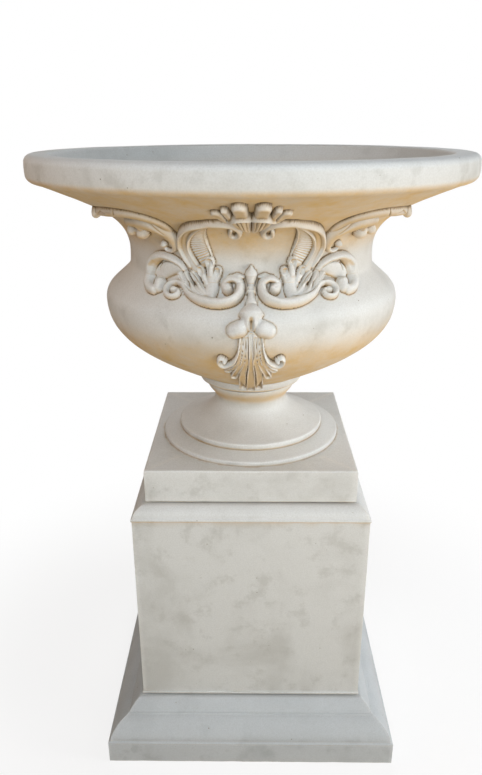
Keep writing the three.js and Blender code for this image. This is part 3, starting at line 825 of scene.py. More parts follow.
@dataclass
class Bowl:
    """The ring, bulb, neck and rolled rim in one casting, and the outline that the ornament lies on."""

    ring_height: float = 19.0
    ring_radius: float = 106.0
    bulb_lower: float = 166.0
    bulb_upper: float = 60.0
    bulb_radius: float = 288.0
    crease_radius: float = 240.0
    neck_radius: float = 236.5
    neck_foot: float = 33.0
    neck_flare: float = 128.0
    rim_width: float = 46.0
    rim_roll: float = 14.0
    wall: float = 24.0
    floor_height: float = 42.0
    hole_radius: float = 18.0
    seat_radius: float = 92.0
    unevenness: float = 0.5
    sides: int = 360
    span: tuple[float, float] = field(default_factory=lambda: levels("bowl"))
    rim_radius: float = field(default_factory=lambda: half_width("bowl"))

    def __post_init__(self) -> None:
        """Works out the levels and the outside line that everything else is set out from."""
        self.bulb_bottom = self.span[0] + self.ring_height
        self.widest = self.bulb_bottom + self.bulb_lower
        self.crease = self.widest + self.bulb_upper
        self.waist = self.crease + self.neck_foot
        self.under_rim = self.waist + self.neck_flare
        line = np.array(self.outside())
        self.line_radius = line[:, 0]
        self.line_level = line[:, 1]
        self.line_length = np.concatenate([[0.0], np.cumsum(np.hypot(*np.diff(line, axis=0).T))])
        self.line_slope = np.gradient(self.line_radius, self.line_level)

    def outside(self) -> Outline:
        """Gives the outside from the top of the ring to the foot of the rim."""
        ring, bulb, crease, neck = self.ring_radius, self.bulb_radius, self.crease_radius, self.neck_radius
        start = (ring + 2, self.bulb_bottom)
        swell = bulb - ring
        flare = self.rim_radius - self.rim_roll - neck
        return [
            start,
            *curve(start, (ring + swell * 0.68, self.bulb_bottom + self.bulb_lower * 0.37),
                   (bulb, self.bulb_bottom + self.bulb_lower * 0.58), (bulb, self.widest), 70),
            *curve((bulb, self.widest), (bulb, self.widest + self.bulb_upper * 0.47),
                   ((bulb + crease) / 2 - 2, self.widest + self.bulb_upper * 0.62),
                   (crease + 1.2, self.crease), 26),
            *curve((crease - 0.6, self.crease + 1.2), (neck, self.crease + 8),
                   (neck - 0.2, self.waist - 10), (neck, self.waist), 8),
            *curve((neck, self.waist), (neck, self.waist + self.neck_flare * 0.49),
                   (neck + flare * 0.38, self.waist + self.neck_flare * 0.67),
                   (neck + flare, self.under_rim), 60),
        ]

    def section(self) -> Outline:
        """Gives the whole section, from the hole in the floor round the outside and back down the inside."""
        bottom, top = self.span
        lip = self.rim_radius - self.rim_width
        roll = self.rim_roll
        rim = self.rim_radius
        ring = self.ring_radius
        hip = bottom + self.ring_height * 0.4
        outside = self.outside()
        offset = np.array(outside)
        along = np.gradient(offset, axis=0)
        along /= np.linalg.norm(along, axis=1)[:, None]
        offset = offset + np.stack([-along[:, 1], along[:, 0]], 1) * self.wall
        floor = bottom + self.floor_height
        within = [(r, z) for r, z in offset[::3] if z > floor + 2 and r < lip - 4]
        return [
            (self.hole_radius, floor),
            (self.hole_radius, bottom),
            (self.seat_radius, bottom),
            *curve((self.seat_radius, bottom), (ring - 4, bottom + 0.6), (ring, bottom + 3), (ring, hip), 8),
            *curve((ring, hip), (ring, bottom + 13),
                   (ring - 1.5, bottom + 16.5), (ring - 4.5, bottom + self.ring_height - 1), 8),
            *outside,
            *curve((rim - roll, self.under_rim), (rim - roll * 0.42, self.under_rim),
                   (rim, self.under_rim + roll * 0.45), (rim, self.under_rim + roll), 10),
            *curve((rim, self.under_rim + roll), (rim + 0.6, self.under_rim + roll + 6),
                   (rim + 0.6, top - roll - 6), (rim, top - roll), 5),
            *curve((rim, top - roll), (rim, top - roll * 0.45),
                   (rim - roll * 0.42, top), (rim - roll, top), 10),
            (rim - roll - 8, top),
            *curve((lip + 10, top), (lip + 4, top), (lip + 1, top - 2), (lip, top - 7), 6),
            *within[::-1],
            (float(np.interp(floor, offset[:, 1], offset[:, 0])) - 6, floor),
        ]

    def level_of(self, percent: np.ndarray) -> np.ndarray:
        """Turns per cent of the neck's or the bulb's height to levels."""
        reach = np.where(percent > 0, self.neck_foot + self.neck_flare, self.bulb_lower + self.bulb_upper)
        return self.crease + percent / 100 * reach

    def length_at(self, level: np.ndarray) -> np.ndarray:
        """Gives the distance along the outside line at each level."""
        return np.interp(level, self.line_level, self.line_length)

    def radius_at(self, length: np.ndarray) -> np.ndarray:
        """Gives the radius at each distance along the outside line."""
        return np.interp(length, self.line_length, self.line_radius)

    def slope_at(self, length: np.ndarray) -> np.ndarray:
        """Gives how fast the radius grows with the level at each distance along the outside line."""
        return np.interp(length, self.line_length, self.line_slope)

    def on_surface(self, turn: np.ndarray, length: np.ndarray, lift: np.ndarray) -> np.ndarray:
        """Places points on the outside, raised square to the stone.

        Args:
            turn: radians round from the middle of the front.
            length: distances along the outside line.
            lift: heights off the stone.

        Returns:
            One row of x, y and z for each point, in millimetres.
        """
        level = np.interp(length, self.line_length, self.line_level)
        slope = self.slope_at(length)
        out = 1 / np.hypot(1.0, slope)
        radius = self.radius_at(length) + lift * out
        return np.stack([radius * np.sin(turn), -radius * np.cos(turn), level - lift * out * slope], 1)

    def build(self, stone: Material,
              stained_and_shaded: Callable[[np.ndarray, np.ndarray], np.ndarray]) -> None:
        """Builds the bowl.

        Args:
            stone: its finish.
            stained_and_shaded: gives how near the ornament is at each turn and distance along the outside,
                which darkens the stone round it as staining and painted shade.
        """
        section = self.section()
        bm = turned(section, self.sides)
        waver(bm, self.unevenness, seed=5.0)
        piece = as_object(bm, "campana_bowl")
        mark_outline(piece, section)
        at = places(piece.data)
        radius = np.hypot(at[:, 0], at[:, 1])
        on_outside = (at[:, 2] > self.bulb_bottom) & (at[:, 2] < self.under_rim) & (
            radius > np.interp(at[:, 2], self.line_level, self.line_radius) - self.wall / 2)
        turn = np.arctan2(at[:, 0], -at[:, 1])
        folded = np.abs((turn + math.pi / 2) % math.pi - math.pi / 2)
        # A tan halo round the ornament: partly staining, partly painted shade at its foot
        halo = np.zeros(len(at))
        halo[on_outside] = stained_and_shaded(folded[on_outside], self.length_at(at[on_outside, 2]))
        set_amounts(piece.data, "recess", np.maximum(get_amounts(piece.data, "recess"), halo))
        install(piece, "bowl", URN, stone)


# Ornament

class Section(Enum):
    """How a stroke of the ornament is shaped across."""

    ROUND = "a rounded back"
    FLAT = "a flat band with rounded edges"
    CUPPED = "a hollow between two raised edges"
    RIBBED = "a flat band with fine ribs across it"
    GROOVE = "a rounded groove cut from what is there"
    HOLE = "a hole cut down to a floor"


@dataclass(frozen=True)
class Stroke:
    """One stroke: its line as (degrees, per cent), half widths and heights along it, and its section."""

    path: tuple[Point, ...]
    wide: tuple[float, ...]
    high: tuple[float, ...]
    section: Section = Section.ROUND

    def mirrored(self) -> "Stroke":
        """Gives the stroke on the other side of the middle."""
        return replace(self, path=tuple((-degrees, percent) for degrees, percent in self.path))


SMOOTH_STEPS = 10
SIDE_STEEPNESS = 2.6
SIDE_REACH, NOTHING = 14.0, -40.0
# How far round the ornament, and how strongly, the bowl is darkened: partly staining, partly painted shade
SHADE_AND_STAIN_REACH, SHADE_AND_STAIN_STRENGTH = 6.0, 0.8
HOLE_FLOOR = 0.55

# The powers that shape a section across, and the sizes of its parts
ROUND_POWER, FLAT_POWER = 2.3, 7
CUP_POWER, CUP_LEVEL, CUP_EDGE = 2.6, 0.36, 0.82
RIBBED_POWER, RIB_PITCH, RIB_DEPTH, RIB_LEAN = 4, 5.2, 0.26, 3.0


def smooth_line(path: Sequence[Point]) -> np.ndarray:
    """Runs a smooth line through the points of a path.

    Args:
        path: the points it passes through.

    Returns:
        Its points, SMOOTH_STEPS to each stretch of the path.
    """
    given = np.array(path, float)
    if len(given) == 1:
        return given
    ends = np.vstack([2 * given[0] - given[1], given, 2 * given[-1] - given[-2]])
    made = [given[:1]]
    share = np.linspace(0, 1, SMOOTH_STEPS + 1)[1:, None]
    for a, b, c, d in zip(ends, ends[1:], ends[2:], ends[3:]):
        made.append(0.5 * (2 * b + (c - a) * share + (2 * a - 5 * b + 4 * c - d) * share ** 2
                           + (3 * b - a - 3 * c + d) * share ** 3))
    return np.vstack(made)


def across(section: Section, share: np.ndarray, along: np.ndarray) -> np.ndarray:
    """Gives the height of a stroke across its width, as a share of its full height.

    Args:
        section: the shape across.
        share: the distance from the middle as a share of the half width, with its sign.
        along: the distance along the stroke in millimetres.

    Returns:
        The share of the full height, from 0 at the edge.
    """
    off = np.minimum(np.abs(share), 1.0)
    if section is Section.ROUND:
        return np.sqrt(1 - off ** ROUND_POWER)
    flat = np.sqrt(1 - off ** FLAT_POWER)
    if section is Section.CUPPED:
        return flat * (CUP_LEVEL + (1 - CUP_LEVEL) * np.minimum(off / CUP_EDGE, 1.0) ** CUP_POWER)
    if section is Section.RIBBED:
        wave = 0.5 + 0.5 * np.cos((along + RIB_LEAN * share) * math.tau / RIB_PITCH)
        return np.sqrt(1 - off ** RIBBED_POWER) * (1 - RIB_DEPTH + RIB_DEPTH * wave)
    return flat


class Relief:
    """A raised design on the bowl, worked out as a height above the stone at any place."""

    def __init__(self, bowl: Bowl, strokes: Sequence[Stroke]) -> None:
        """Lays the strokes' lines out on the bowl.

        Args:
            bowl: what the design lies on.
            strokes: its strokes, in the order they are made.
        """
        self.bowl = bowl
        self.strokes = strokes
        self.lines = [self.laid_out(stroke) for stroke in strokes]

    def laid_out(self, stroke: Stroke) -> np.ndarray:
        """Gives a stroke's smooth line as radians and distances along the outside."""
        line = smooth_line(stroke.path)
        return np.stack([np.radians(line[:, 0]), self.bowl.length_at(self.bowl.level_of(line[:, 1]))], 1)

    def bounds(self, margin: float) -> tuple[float, float, float, float]:
        """Gives the lowest and highest radians and distances that the raised strokes reach, with a margin."""
        low = np.full(2, np.inf)
        high = np.full(2, -np.inf)
        for stroke, line in zip(self.strokes, self.lines):
            reach = max(stroke.wide) + margin
            radius = self.bowl.radius_at(line[:, 1]).min()
            room = np.array([reach / radius, reach])
            low = np.minimum(low, line.min(0) - room)
            high = np.maximum(high, line.max(0) + room)
        low[1] = max(low[1], 1.0)
        high[1] = min(high[1], self.bowl.line_length[-1] - 1.0)
        return low[0], high[0], low[1], high[1]

    def nearest(self, line: np.ndarray, turn: np.ndarray, length: np.ndarray,
                ) -> tuple[np.ndarray, np.ndarray, np.ndarray]:
        """Finds the nearest place on a line for each point of the stone.

        Args:
            line: radians and distances along the outside.
            turn: each point's radians.
            length: each point's distance along the outside.

        Returns:
            The distance with a sign for its side, the share along the line, and the distance along it.
        """
        radius = self.bowl.radius_at(length)
        best = np.full(len(turn), np.inf)
        side = np.zeros(len(turn))
        share = np.zeros(len(turn))
        run = np.zeros(len(turn))
        if len(line) == 1:
            return np.hypot((turn - line[0, 0]) * radius, length - line[0, 1]), share, run
        walked = 0.0
        count = len(line) - 1
        for index, (start, end) in enumerate(zip(line, line[1:])):
            ex, ey = (end[0] - start[0]) * radius, end[1] - start[1]
            px, py = (turn - start[0]) * radius, length - start[1]
            size = np.maximum(ex * ex + ey * ey, 1e-9)
            part = np.clip((px * ex + py * ey) / size, 0, 1)
            gap = (px - part * ex) ** 2 + (py - part * ey) ** 2
            closer = gap < best
            best = np.where(closer, gap, best)
            side = np.where(closer, np.sign(px * ey - py * ex), side)
            share = np.where(closer, (index + part) / count, share)
            run = np.where(closer, walked + part * np.sqrt(size), run)
            walked = walked + math.sqrt(float(np.median(size)))
        return np.sqrt(best) * np.where(side == 0, 1, side), share, run

    def heights(self, turn: np.ndarray, length: np.ndarray) -> np.ndarray:
        """Gives the design's height at each place, negative outside it.

        Args:
            turn: radians round.
            length: distances along the outside.

        Returns:
            Heights off the stone in millimetres.
        """
        height = np.full(len(turn), NOTHING)
        radius = self.bowl.radius_at(length)
        for stroke, line in zip(self.strokes, self.lines):
            reach = max(stroke.wide) + SIDE_REACH
            near = (
                (turn > line[:, 0].min() - reach / radius) & (turn < line[:, 0].max() + reach / radius)
                & (length > line[:, 1].min() - reach) & (length < line[:, 1].max() + reach)
            )
            if not near.any():
                continue
            gap, share, run = self.nearest(line, turn[near], length[near])
            wide, high = (np.interp(share, np.linspace(0, 1, len(given)), given)
                          for given in (stroke.wide, stroke.high))
            before = height[near]
            if stroke.section is Section.GROOVE:
                cut = (1 - np.minimum(np.abs(gap) / wide, 1.0) ** 2) ** 1.5
                height[near] = before - high * cut
            elif stroke.section is Section.HOLE:
                beyond = np.maximum(np.abs(gap) - HOLE_FLOOR * wide, 0.0)
                height[near] = np.minimum(before, high + SIDE_STEEPNESS * beyond)
            else:
                beyond = np.maximum(np.abs(gap) - wide, 0.0)
                raised = high * across(stroke.section, gap / wide, run)
                height[near] = np.maximum(before, raised - SIDE_STEEPNESS * beyond)
        return height

    def nearness(self, turn: np.ndarray, length: np.ndarray) -> np.ndarray:
        """Gives 1 on the design and falls to 0 a finger's width from it."""
        height = self.heights(turn, length)
        return np.clip(1 + height / (SIDE_STEEPNESS * SHADE_AND_STAIN_REACH), 0, 1) ** 2


@dataclass
class Ornament:
    """One pressed piece, made once and then copied to the other side and to the back."""

    name: str
    strokes: tuple[Stroke, ...]
    paired: bool = False
    spacing: float = 1.0
    buried: float = 3.5
    back_gap: float = 0.5
    margin: float = 4.0
    smoothing: float = 0.35
    smooth_rounds: int = 2
    smallest_island: int = 60
    blur_rounds: int = 26
    # Grime and painted shade in low places, at the foot of each side and where the bowl faces down
    dirt_and_shade_depth: float = 5.0
    foot_dirt_and_shade: float = 0.4
    wear_height: float = 4.0
    under_wash_and_shade: float = 0.48

    def mesh(self, relief: Relief) -> BMesh:
        """Builds the piece on the right of the front.

        Args:
            relief: the design laid out on the bowl.

        Returns:
            A closed mesh, marked with where its finish is grimy and painted with shade, or worn.
        """
        turn_low, turn_high, low, high = relief.bounds(self.margin)
        radius = float(relief.bowl.radius_at((low + high) / 2))
        columns = math.ceil((turn_high - turn_low) * radius / self.spacing)
        rows = math.ceil((high - low) / self.spacing)
        bm = bmesh.new()
        bmesh.ops.create_grid(bm, x_segments=columns, y_segments=rows, size=0.5)
        grid = np.array([vert.co.to_tuple() for vert in bm.verts])
        turn = turn_low + (grid[:, 0] + 0.5) * (turn_high - turn_low)
        length = low + (grid[:, 1] + 0.5) * (high - low)
        height = relief.heights(turn, length)
        recess, edge = self.marks(height.reshape(rows + 1, columns + 1))
        # Where the bowl faces down, the ornament is washed tan too: partly wash, partly painted shade and
        # warm bounce light
        slope = np.maximum(relief.bowl.slope_at(length), 0)
        recess = np.clip(recess.ravel() + self.under_wash_and_shade * slope / np.hypot(1, slope), 0, 1)

        recess_layer = bm.verts.layers.float.new("recess")
        edge_layer = bm.verts.layers.float.new("edge")
        back = bm.verts.layers.float_vector.new("back")
        placed = relief.bowl.on_surface(turn, length, np.maximum(height, -self.buried))
        behind = relief.bowl.on_surface(turn, length, np.full(len(turn), -self.buried - self.back_gap))
        for vert, co, below, sunk, proud in zip(bm.verts, placed, behind, recess, edge.ravel()):
            vert.co = co
            vert[back] = below
            vert[recess_layer] = sunk
            vert[edge_layer] = proud
        bm.verts.ensure_lookup_table()
        stray = [bm.verts[int(i)] for i in np.flatnonzero(height < -self.buried + self.back_gap)]
        bmesh.ops.delete(bm, geom=stray, context="VERTS")
        self.drop_crumbs(bm)
        bmesh.ops.recalc_face_normals(bm, faces=bm.faces)
        for _ in range(self.smooth_rounds):
            bmesh.ops.smooth_vert(bm, verts=bm.verts, factor=self.smoothing,
                                  use_axis_x=True, use_axis_y=True, use_axis_z=True)
        self.close_back(bm, back)
        return bm

    def marks(self, height: np.ndarray) -> tuple[np.ndarray, np.ndarray]:
        """Compares the heights with blurred ones, for grime and painted shade in what is low and at the foot
        of the sides, and wear on what is high.
        """
        blurred = np.maximum(height, 0.0)
        level = blurred.copy()
        for _ in range(self.blur_rounds):
            blurred = np.pad(blurred, 1, mode="edge")
            blurred = (blurred[:-2, 1:-1] + blurred[2:, 1:-1] + blurred[1:-1, :-2] + blurred[1:-1, 2:]
                       + 4 * blurred[1:-1, 1:-1]) / 8
        # Low places and the foot of each side are darkened: partly grime, partly painted shade
        low = np.clip((blurred - level) / self.dirt_and_shade_depth, 0, 1)
        foot = np.clip(1 - level / self.dirt_and_shade_depth, 0, 1)
        worn = np.clip((level - blurred) / self.wear_height, 0, 1)
        return np.clip(low + self.foot_dirt_and_shade * foot, 0, 1), worn

    def drop_crumbs(self, bm: BMesh) -> None:
        """Removes loose edges and islands too small to see."""
        bmesh.ops.delete(bm, geom=[e for e in bm.edges if not e.link_faces], context="EDGES")
        bmesh.ops.delete(bm, geom=[v for v in bm.verts if not v.link_faces], context="VERTS")
        seen: set[int] = set()
        bm.verts.index_update()
        small: list[BMVert] = []
        for first in bm.verts:
            if first.index in seen:
                continue
            seen.add(first.index)
            island = [first]
            for vert in island:
                for edge in vert.link_edges:
                    other = edge.other_vert(vert)
                    if other.index not in seen:
                        seen.add(other.index)
                        island.append(other)
            if len(island) < self.smallest_island:
                small += island
        bmesh.ops.delete(bm, geom=small, context="VERTS")

    def close_back(self, bm: BMesh, back: BMLayerItem) -> None:
        """Closes the piece with a back that lies inside the bowl's wall, at the places kept in a layer."""
        behind = bm.verts[:]
        bmesh.ops.extrude_face_region(bm, geom=bm.faces[:])
        for vert in behind:
            vert.co = vert[back]
        bm.verts.layers.float_vector.remove(back)
        bmesh.ops.recalc_face_normals(bm, faces=bm.faces)

    def build(self, bowl: Bowl, stone: Material) -> None:
        """Builds the piece and its copies.

        Args:
            bowl: what it is luted to.
            stone: its finish.
        """
        made = self.mesh(Relief(bowl, self.strokes))
        for face, turn in (("front", 0.0), ("back", math.pi)):
            for side, across_x in ((("_right", 1), ("_left", -1)) if self.paired else (("", 1),)):
                bm = made.copy()
                bmesh.ops.scale(bm, verts=bm.verts, vec=(across_x, 1, 1))
                if across_x < 0:
                    bmesh.ops.reverse_faces(bm, faces=bm.faces)
                bmesh.ops.rotate(bm, verts=bm.verts, cent=(0, 0, 0), matrix=Matrix.Rotation(turn, 3, "Z"))
                node = f"{face}_{self.name}{side}"
                install(as_object(bm, f"pressed_{node}"), node, URN, stone)
        made.free()


def both(*strokes: Stroke) -> tuple[Stroke, ...]:
    """Gives each stroke and its copy on the other side of the middle."""
    return tuple(copy for stroke in strokes for copy in (stroke, stroke.mirrored()))


FLAT, CUPPED, RIBBED = Section.FLAT, Section.CUPPED, Section.RIBBED
GROOVE, HOLE = Section.GROOVE, Section.HOLE

CARTOUCHE_BAND = Ornament("cartouche_band", paired=True, strokes=(
    # The ribbed inner band, and a thin fillet along its inner side
    Stroke(((13.5, 69.7), (16.2, 65.7), (18.4, 60.7), (19.8, 54.5), (20.3, 48.3), (20.2, 41.4), (19.6, 34),
            (18.8, 25.9)), (3, 9, 14, 16.5, 17, 16, 14, 10), (5, 8, 9.5, 10, 10, 9.5, 9, 7), RIBBED),
    Stroke(((13.5, 68.8), (15.2, 63.8), (16.2, 57), (16.5, 49.5), (16.3, 43.3), (15.9, 37.1), (15.6, 31.5)),
           (1.6, 2, 2.1, 2.1, 2, 1.8, 1.4), (6, 8, 8.5, 8.5, 8, 7, 6)),
    # The outer band, from a hook at the top to the leaves at the bottom, with a roll on each side of it
    Stroke(((6.5, 65), (6.9, 62.5), (7.2, 59.1), (6.7, 57), (5.4, 56.6), (4.3, 58.8), (3.8, 62.5),
            (4.1, 66.6), (5.2, 70.3), (7.2, 72.8), (10, 73.4), (13.5, 72.2), (17, 69.1), (20.3, 64.4),
            (22.6, 60.1), (24.5, 53.9), (26.1, 44.5), (25.6, 35.2), (24.8, 29), (23.7, 22.8), (22.9, 17.8)),
           (3.6, 3.8, 3.8, 3.8, 4, 4.6, 5, 5, 5, 5, 5, 6, 8, 10, 12, 12.5, 11.5, 11.3, 10.7, 10, 8),
           (8, 9, 9, 9, 10, 11, 12, 12, 12, 12, 12, 11, 10, 9, 9, 9, 9, 9, 9, 9, 8)),
    Stroke(((12, 73.1), (15.6, 71.6), (18.8, 69.7), (21.8, 66), (24.6, 60.1), (26.5, 53.9), (27.7, 47),
            (28, 41.4), (27.4, 34), (26.4, 26.5), (25, 19.7)),
           (4, 4.4, 4.8, 5, 5, 5, 5, 5, 5, 4.8, 4.2), (11, 13, 14, 15, 15, 15, 15, 15, 15, 14, 10)),
    Stroke(((13.5, 71.2), (16.5, 67.8), (19.8, 61.9), (22.2, 55.1), (23.5, 48.9), (24.1, 42.7), (23.9, 36.5),
            (23.1, 29), (22, 22.2)),
           (2.6, 3, 3.4, 3.5, 3.5, 3.5, 3.5, 3.2, 2.8), (10, 12, 14, 14.5, 14.5, 14.5, 14, 13, 10)),
))

ACANTHUS_SCROLL = Ornament("acanthus_scroll", paired=True, strokes=(
    # The body that the leaves grow from
    Stroke(((16.2, 22.8), (15.6, 13.5), (15.2, 4.2), (15.4, -3.7), (15.5, -7.7)), (7, 10, 12, 12, 10),
           (13, 14, 14, 12, 10)),
    Stroke(((28, 0.4), (24, -2.8), (20, -5), (15.5, -6.3)), (8, 11, 11, 9), (6, 8, 9, 9)),
    # Leaves from the outer side inwards, each a looped tip on a stem
    Stroke(((24, -3.2), (26.8, -0.1), (28.6, 4.8), (30.2, 10.4)), (6, 7, 6.4, 5.6), (10, 12, 12, 11)),
    Stroke(((19, -7.2), (22.2, -4.3), (24.6, -0.1), (26.2, 6.6), (27.4, 12.2)), (6, 6, 6, 5.8, 5.4),
           (10, 12, 13, 13, 12)),
    Stroke(((16, -6.8), (18.8, -3.7), (21, 1.1), (22.6, 7.9), (23.9, 13.5)), (6, 6, 6, 5.8, 5.4),
           (10, 12, 14, 14, 13)),
    Stroke(((17.4, 0.4), (18.4, 6.6), (19.2, 11)), (7, 7, 5.5), (12, 13, 12)),
    Stroke(((19, 9.8), (19.8, 14.1), (20.6, 18.4)), (5, 6.6, 6.2), (13, 15, 14), CUPPED),
    Stroke(((14.4, -1.5), (13.7, 7.9), (13.4, 12.2)), (6, 7, 6), (10, 13, 12)),
    Stroke(((13.6, 10.4), (13.3, 14.7), (13.2, 17.8)), (5, 7, 7), (12, 14.5, 14), CUPPED),
    Stroke(((15.8, 12.9), (16, 20.3)), (9, 7), (15, 14)),
    Stroke(((16, 17.8), (16.1, 23.4), (16.3, 28.1)), (6, 8, 7.8), (14, 16, 15), CUPPED),
    # The troughs below their tips, and the folds of the outer ones
    Stroke(((16.4, 25.3), (16.8, 19.1), (16.7, 11.6)), (2.8, 2.6, 1.6), (5, 4, 0), GROOVE),
    Stroke(((13.3, 14.1), (13.9, 6.6)), (1.8, 1.2), (3, 0), GROOVE),
    Stroke(((24.2, 13.8), (23.3, 11.3), (22.2, 7.9), (21.3, 4.2), (20.2, -0.1), (19, -2.3), (17.6, -4.1)),
           (2.4, 2.4, 2.3, 2.2, 2, 1.8, 1.2), (8, 9, 8, 7, 6, 4, 0), GROOVE),
    Stroke(((28, 12.9), (27, 9.1), (26, 4.2), (25, -0.1), (24, -2.8), (22.5, -5.4), (20, -7.7)),
           (2.3, 2.3, 2.2, 2.1, 2, 1.8, 1.2), (8, 8, 8, 7, 6, 4, 0), GROOVE),
    Stroke(((30.4, 9.8), (29, 5.4), (27.6, 1.1)), (1.8, 1.6, 1), (4, 3, 0), GROOVE),
    # Dark gaps between the leaves
    Stroke(((19, 30.2), (18.6, 24), (18, 16.6), (17.2, 10.4)), (2.2, 1.8, 1.5, 1), (12, 9, 5, 0), GROOVE),
    Stroke(((14.3, 24), (14.7, 17.8), (14.9, 10.4)), (1.6, 1.6, 1), (9, 7, 0), GROOVE),
    Stroke(((22.2, 16.6), (21, 10.4), (19.8, 4.8), (18.7, 0.4)), (1.8, 1.6, 1.6, 1), (9, 6, 5, 0), GROOVE),
    Stroke(((25.8, 12.2), (24.6, 6), (23.2, -0.1), (21.4, -3.2)), (1.7, 1.6, 1.5, 1), (8, 6, 4, 0), GROOVE),
    # The scroll itself, from the small end volute round to the eye of the big one
    Stroke(((31, -6.3), (30.6, -5), (29.2, -5), (28.3, -6.5), (29, -8.3), (31, -9), (33.4, -7.7),
            (34.6, -4.6), (33.4, -1.5), (30.5, 0.1), (27, -1.9), (24, -5.4), (20.5, -8.1), (16.5, -10.1),
            (12.5, -10.8), (9.5, -10.5), (6.3, -8.8), (4.5, -5.4), (4.1, -1.5), (4.5, 3.9), (5.4, 7.9),
            (7, 9.5), (9, 7.9), (10.2, 3.2), (10.2, -1.5), (9, -3.9), (7.9, -2.8)),
           (3.6, 3.8, 4, 4.2, 4.6, 5, 5.4, 5.8, 6.4, 7, 7.6, 8.2, 8.6, 8.8,
            8.6, 8.2, 8, 8, 8.2, 8.2, 7.8, 7.2, 7, 7, 6.6, 5.4, 4.6),
           (14, 13, 11, 11, 11, 11, 12, 12, 12, 12, 13, 13, 14, 16,
            17, 18, 19, 19, 19, 19, 19, 18, 17, 16, 15, 16, 18)),
    Stroke(((9.4, 1.1), (9, -1.9)), (8, 8.6), (16, 18)),
    Stroke(((30.6, -5.4),), (7,), (14,)),
    # The dark line of the spiral, and the long one under the leaves
    Stroke(((9.8, 12.9), (11.9, 7.9), (12.4, 1.1), (11.5, -3.9), (9.2, -6.3), (7, -5.4), (6.1, -1.9),
            (6.6, 2.6), (8, 5.1)),
           (2, 2.2, 2.2, 2, 2, 2, 1.9, 1.8, 1.2), (10, 12, 12, 9, 10, 10, 9, 7, 2), GROOVE),
    Stroke(((30.4, -2.3), (28.4, -3.7), (27.4, -5.7)), (1.2, 1.4, 1.2), (4, 5, 4), GROOVE),
    Stroke(((26, -2.3), (23, -5.7), (19, -7.4), (14.5, -7.4)), (1.4, 1.6, 1.6, 1), (3, 5, 5, 1), GROOVE),
    # The small scalloped leaf behind the volute's top
    Stroke(((3.3, 11.3), (5.4, 13), (7, 12.4)), (3.4, 4, 3), (9, 10, 8)),
))

FINIAL = Ornament("finial", strokes=(
    Stroke(((0, -9.9), (0, -7.2), (0, -4.1), (0, -0.6), (0, 6.6), (0, 14.1), (0, 18.1), (0, 21.9)),
           (10, 7, 6, 6, 7.8, 10.4, 8, 2.8), (13, 13, 13, 14, 16, 18, 15, 10)),
    Stroke(((-1.5, -1.9), (1.5, -1.9)), (1.5, 1.5), (15, 15)),
    Stroke(((-1.5, -4.1), (1.5, -4.1)), (1.5, 1.5), (14.5, 14.5)),
))

CREST_SHELL = Ornament("crest_shell", strokes=(
    # Broad ribs above the lip, with deep gaps between them
    *both(
        Stroke(((2.4, 82.4), (2.7, 93)), (10.5, 12), (11, 12), FLAT),
        Stroke(((5.6, 80.6), (6.3, 89.9)), (5, 6), (10, 10), FLAT),
        Stroke(((6.6, 79.3), (8.8, 85.2)), (7, 8), (10, 8), FLAT),
        Stroke(((4.5, 82.4), (4.9, 94.8)), (2, 2.8), (10, 11), GROOVE),
        Stroke(((6.4, 79.9), (7.4, 91.1)), (1.8, 2.6), (9, 9), GROOVE),
    ),
    Stroke(((0, 84.3), (0, 95.5)), (2.2, 3), (11, 12), GROOVE),
    # Two hollow lobes below the lip, with a dark line between them
    *both(
        Stroke(((0.8, 65.7), (2, 72.5), (2.6, 81.8)), (6, 11, 13), (10, 16, 14)),
        Stroke(((1.4, 66.9), (3.6, 72.5), (4.9, 79.3)), (4, 7, 8), (9, 13, 12)),
        Stroke(((1, 68.1), (1.5, 81.2)), (0.8, 1.3), (2, 4), GROOVE),
        Stroke(((1.6, 67.5), (2.9, 81.8)), (0.9, 1.4), (2, 4.5), GROOVE),
        Stroke(((2.2, 68.1), (4.2, 79.9)), (0.9, 1.4), (2, 5), GROOVE),
        Stroke(((2.6, 69.4), (5.4, 77.5)), (0.8, 1.3), (2, 5), GROOVE),
    ),
    Stroke(((0, 83), (0, 73.7), (0, 66.3)), (1.6, 1.4, 0.9), (9, 9, 4), GROOVE),
    # The wavy lip
    *both(
        Stroke(((0.3, 82.7), (1.2, 84.7), (2.4, 85.5), (3.7, 84.9), (4.9, 82.7), (5.8, 79.9), (6.9, 78.7)),
               (2.4, 2.8, 3, 3, 2.8, 2.6, 2), (15, 17, 18, 18, 17, 14, 11)),
    ),
))

OUTER_SCROLL = Ornament("outer_scroll", paired=True, strokes=(
    # A hollow dish inside a broad C, which ends in a bulb
    Stroke(((31, 15.3), (35, 14.7), (39.5, 10.4), (42.5, 4.2), (42, -1.5)),
           (9, 13, 15, 13, 10), (4, 5, 6, 6, 6)),
    Stroke(((28.2, 16), (30.2, 21.6), (34, 26.5), (38.5, 28.1), (42.5, 25.3), (45.4, 19.1), (46.6, 11),
            (46.9, 2.9), (45.8, -3), (43, -6.1), (40, -7)),
           (4.5, 6, 7, 8, 10, 12, 13, 12, 10.5, 9.5, 9),
           (9, 12, 14, 15, 16, 17, 17, 16, 16, 15, 14)),
    Stroke(((38.6, -5.4), (38.9, -2.3), (39.6, -0.1)), (9.5, 11, 8.5), (15, 18, 16)),
    Stroke(((29.6, 16.3), (32.6, 20.9), (36, 23.1), (39.2, 22.2), (40.8, 17.2), (41.2, 11)),
           (1.4, 2, 2.2, 2.1, 1.8, 1.2), (5, 7, 7, 6, 6, 3), GROOVE),
    Stroke(((42.8, 20.9), (44.6, 15.3), (45, 9.1)), (3.6, 4.6, 3.6), (2, 3.5, 1), GROOVE),
    Stroke(((43.6, 4.2), (43.2, -0.6), (42.2, -3.7)), (2.4, 3.4, 2.4), (4, 7, 5), GROOVE),
))

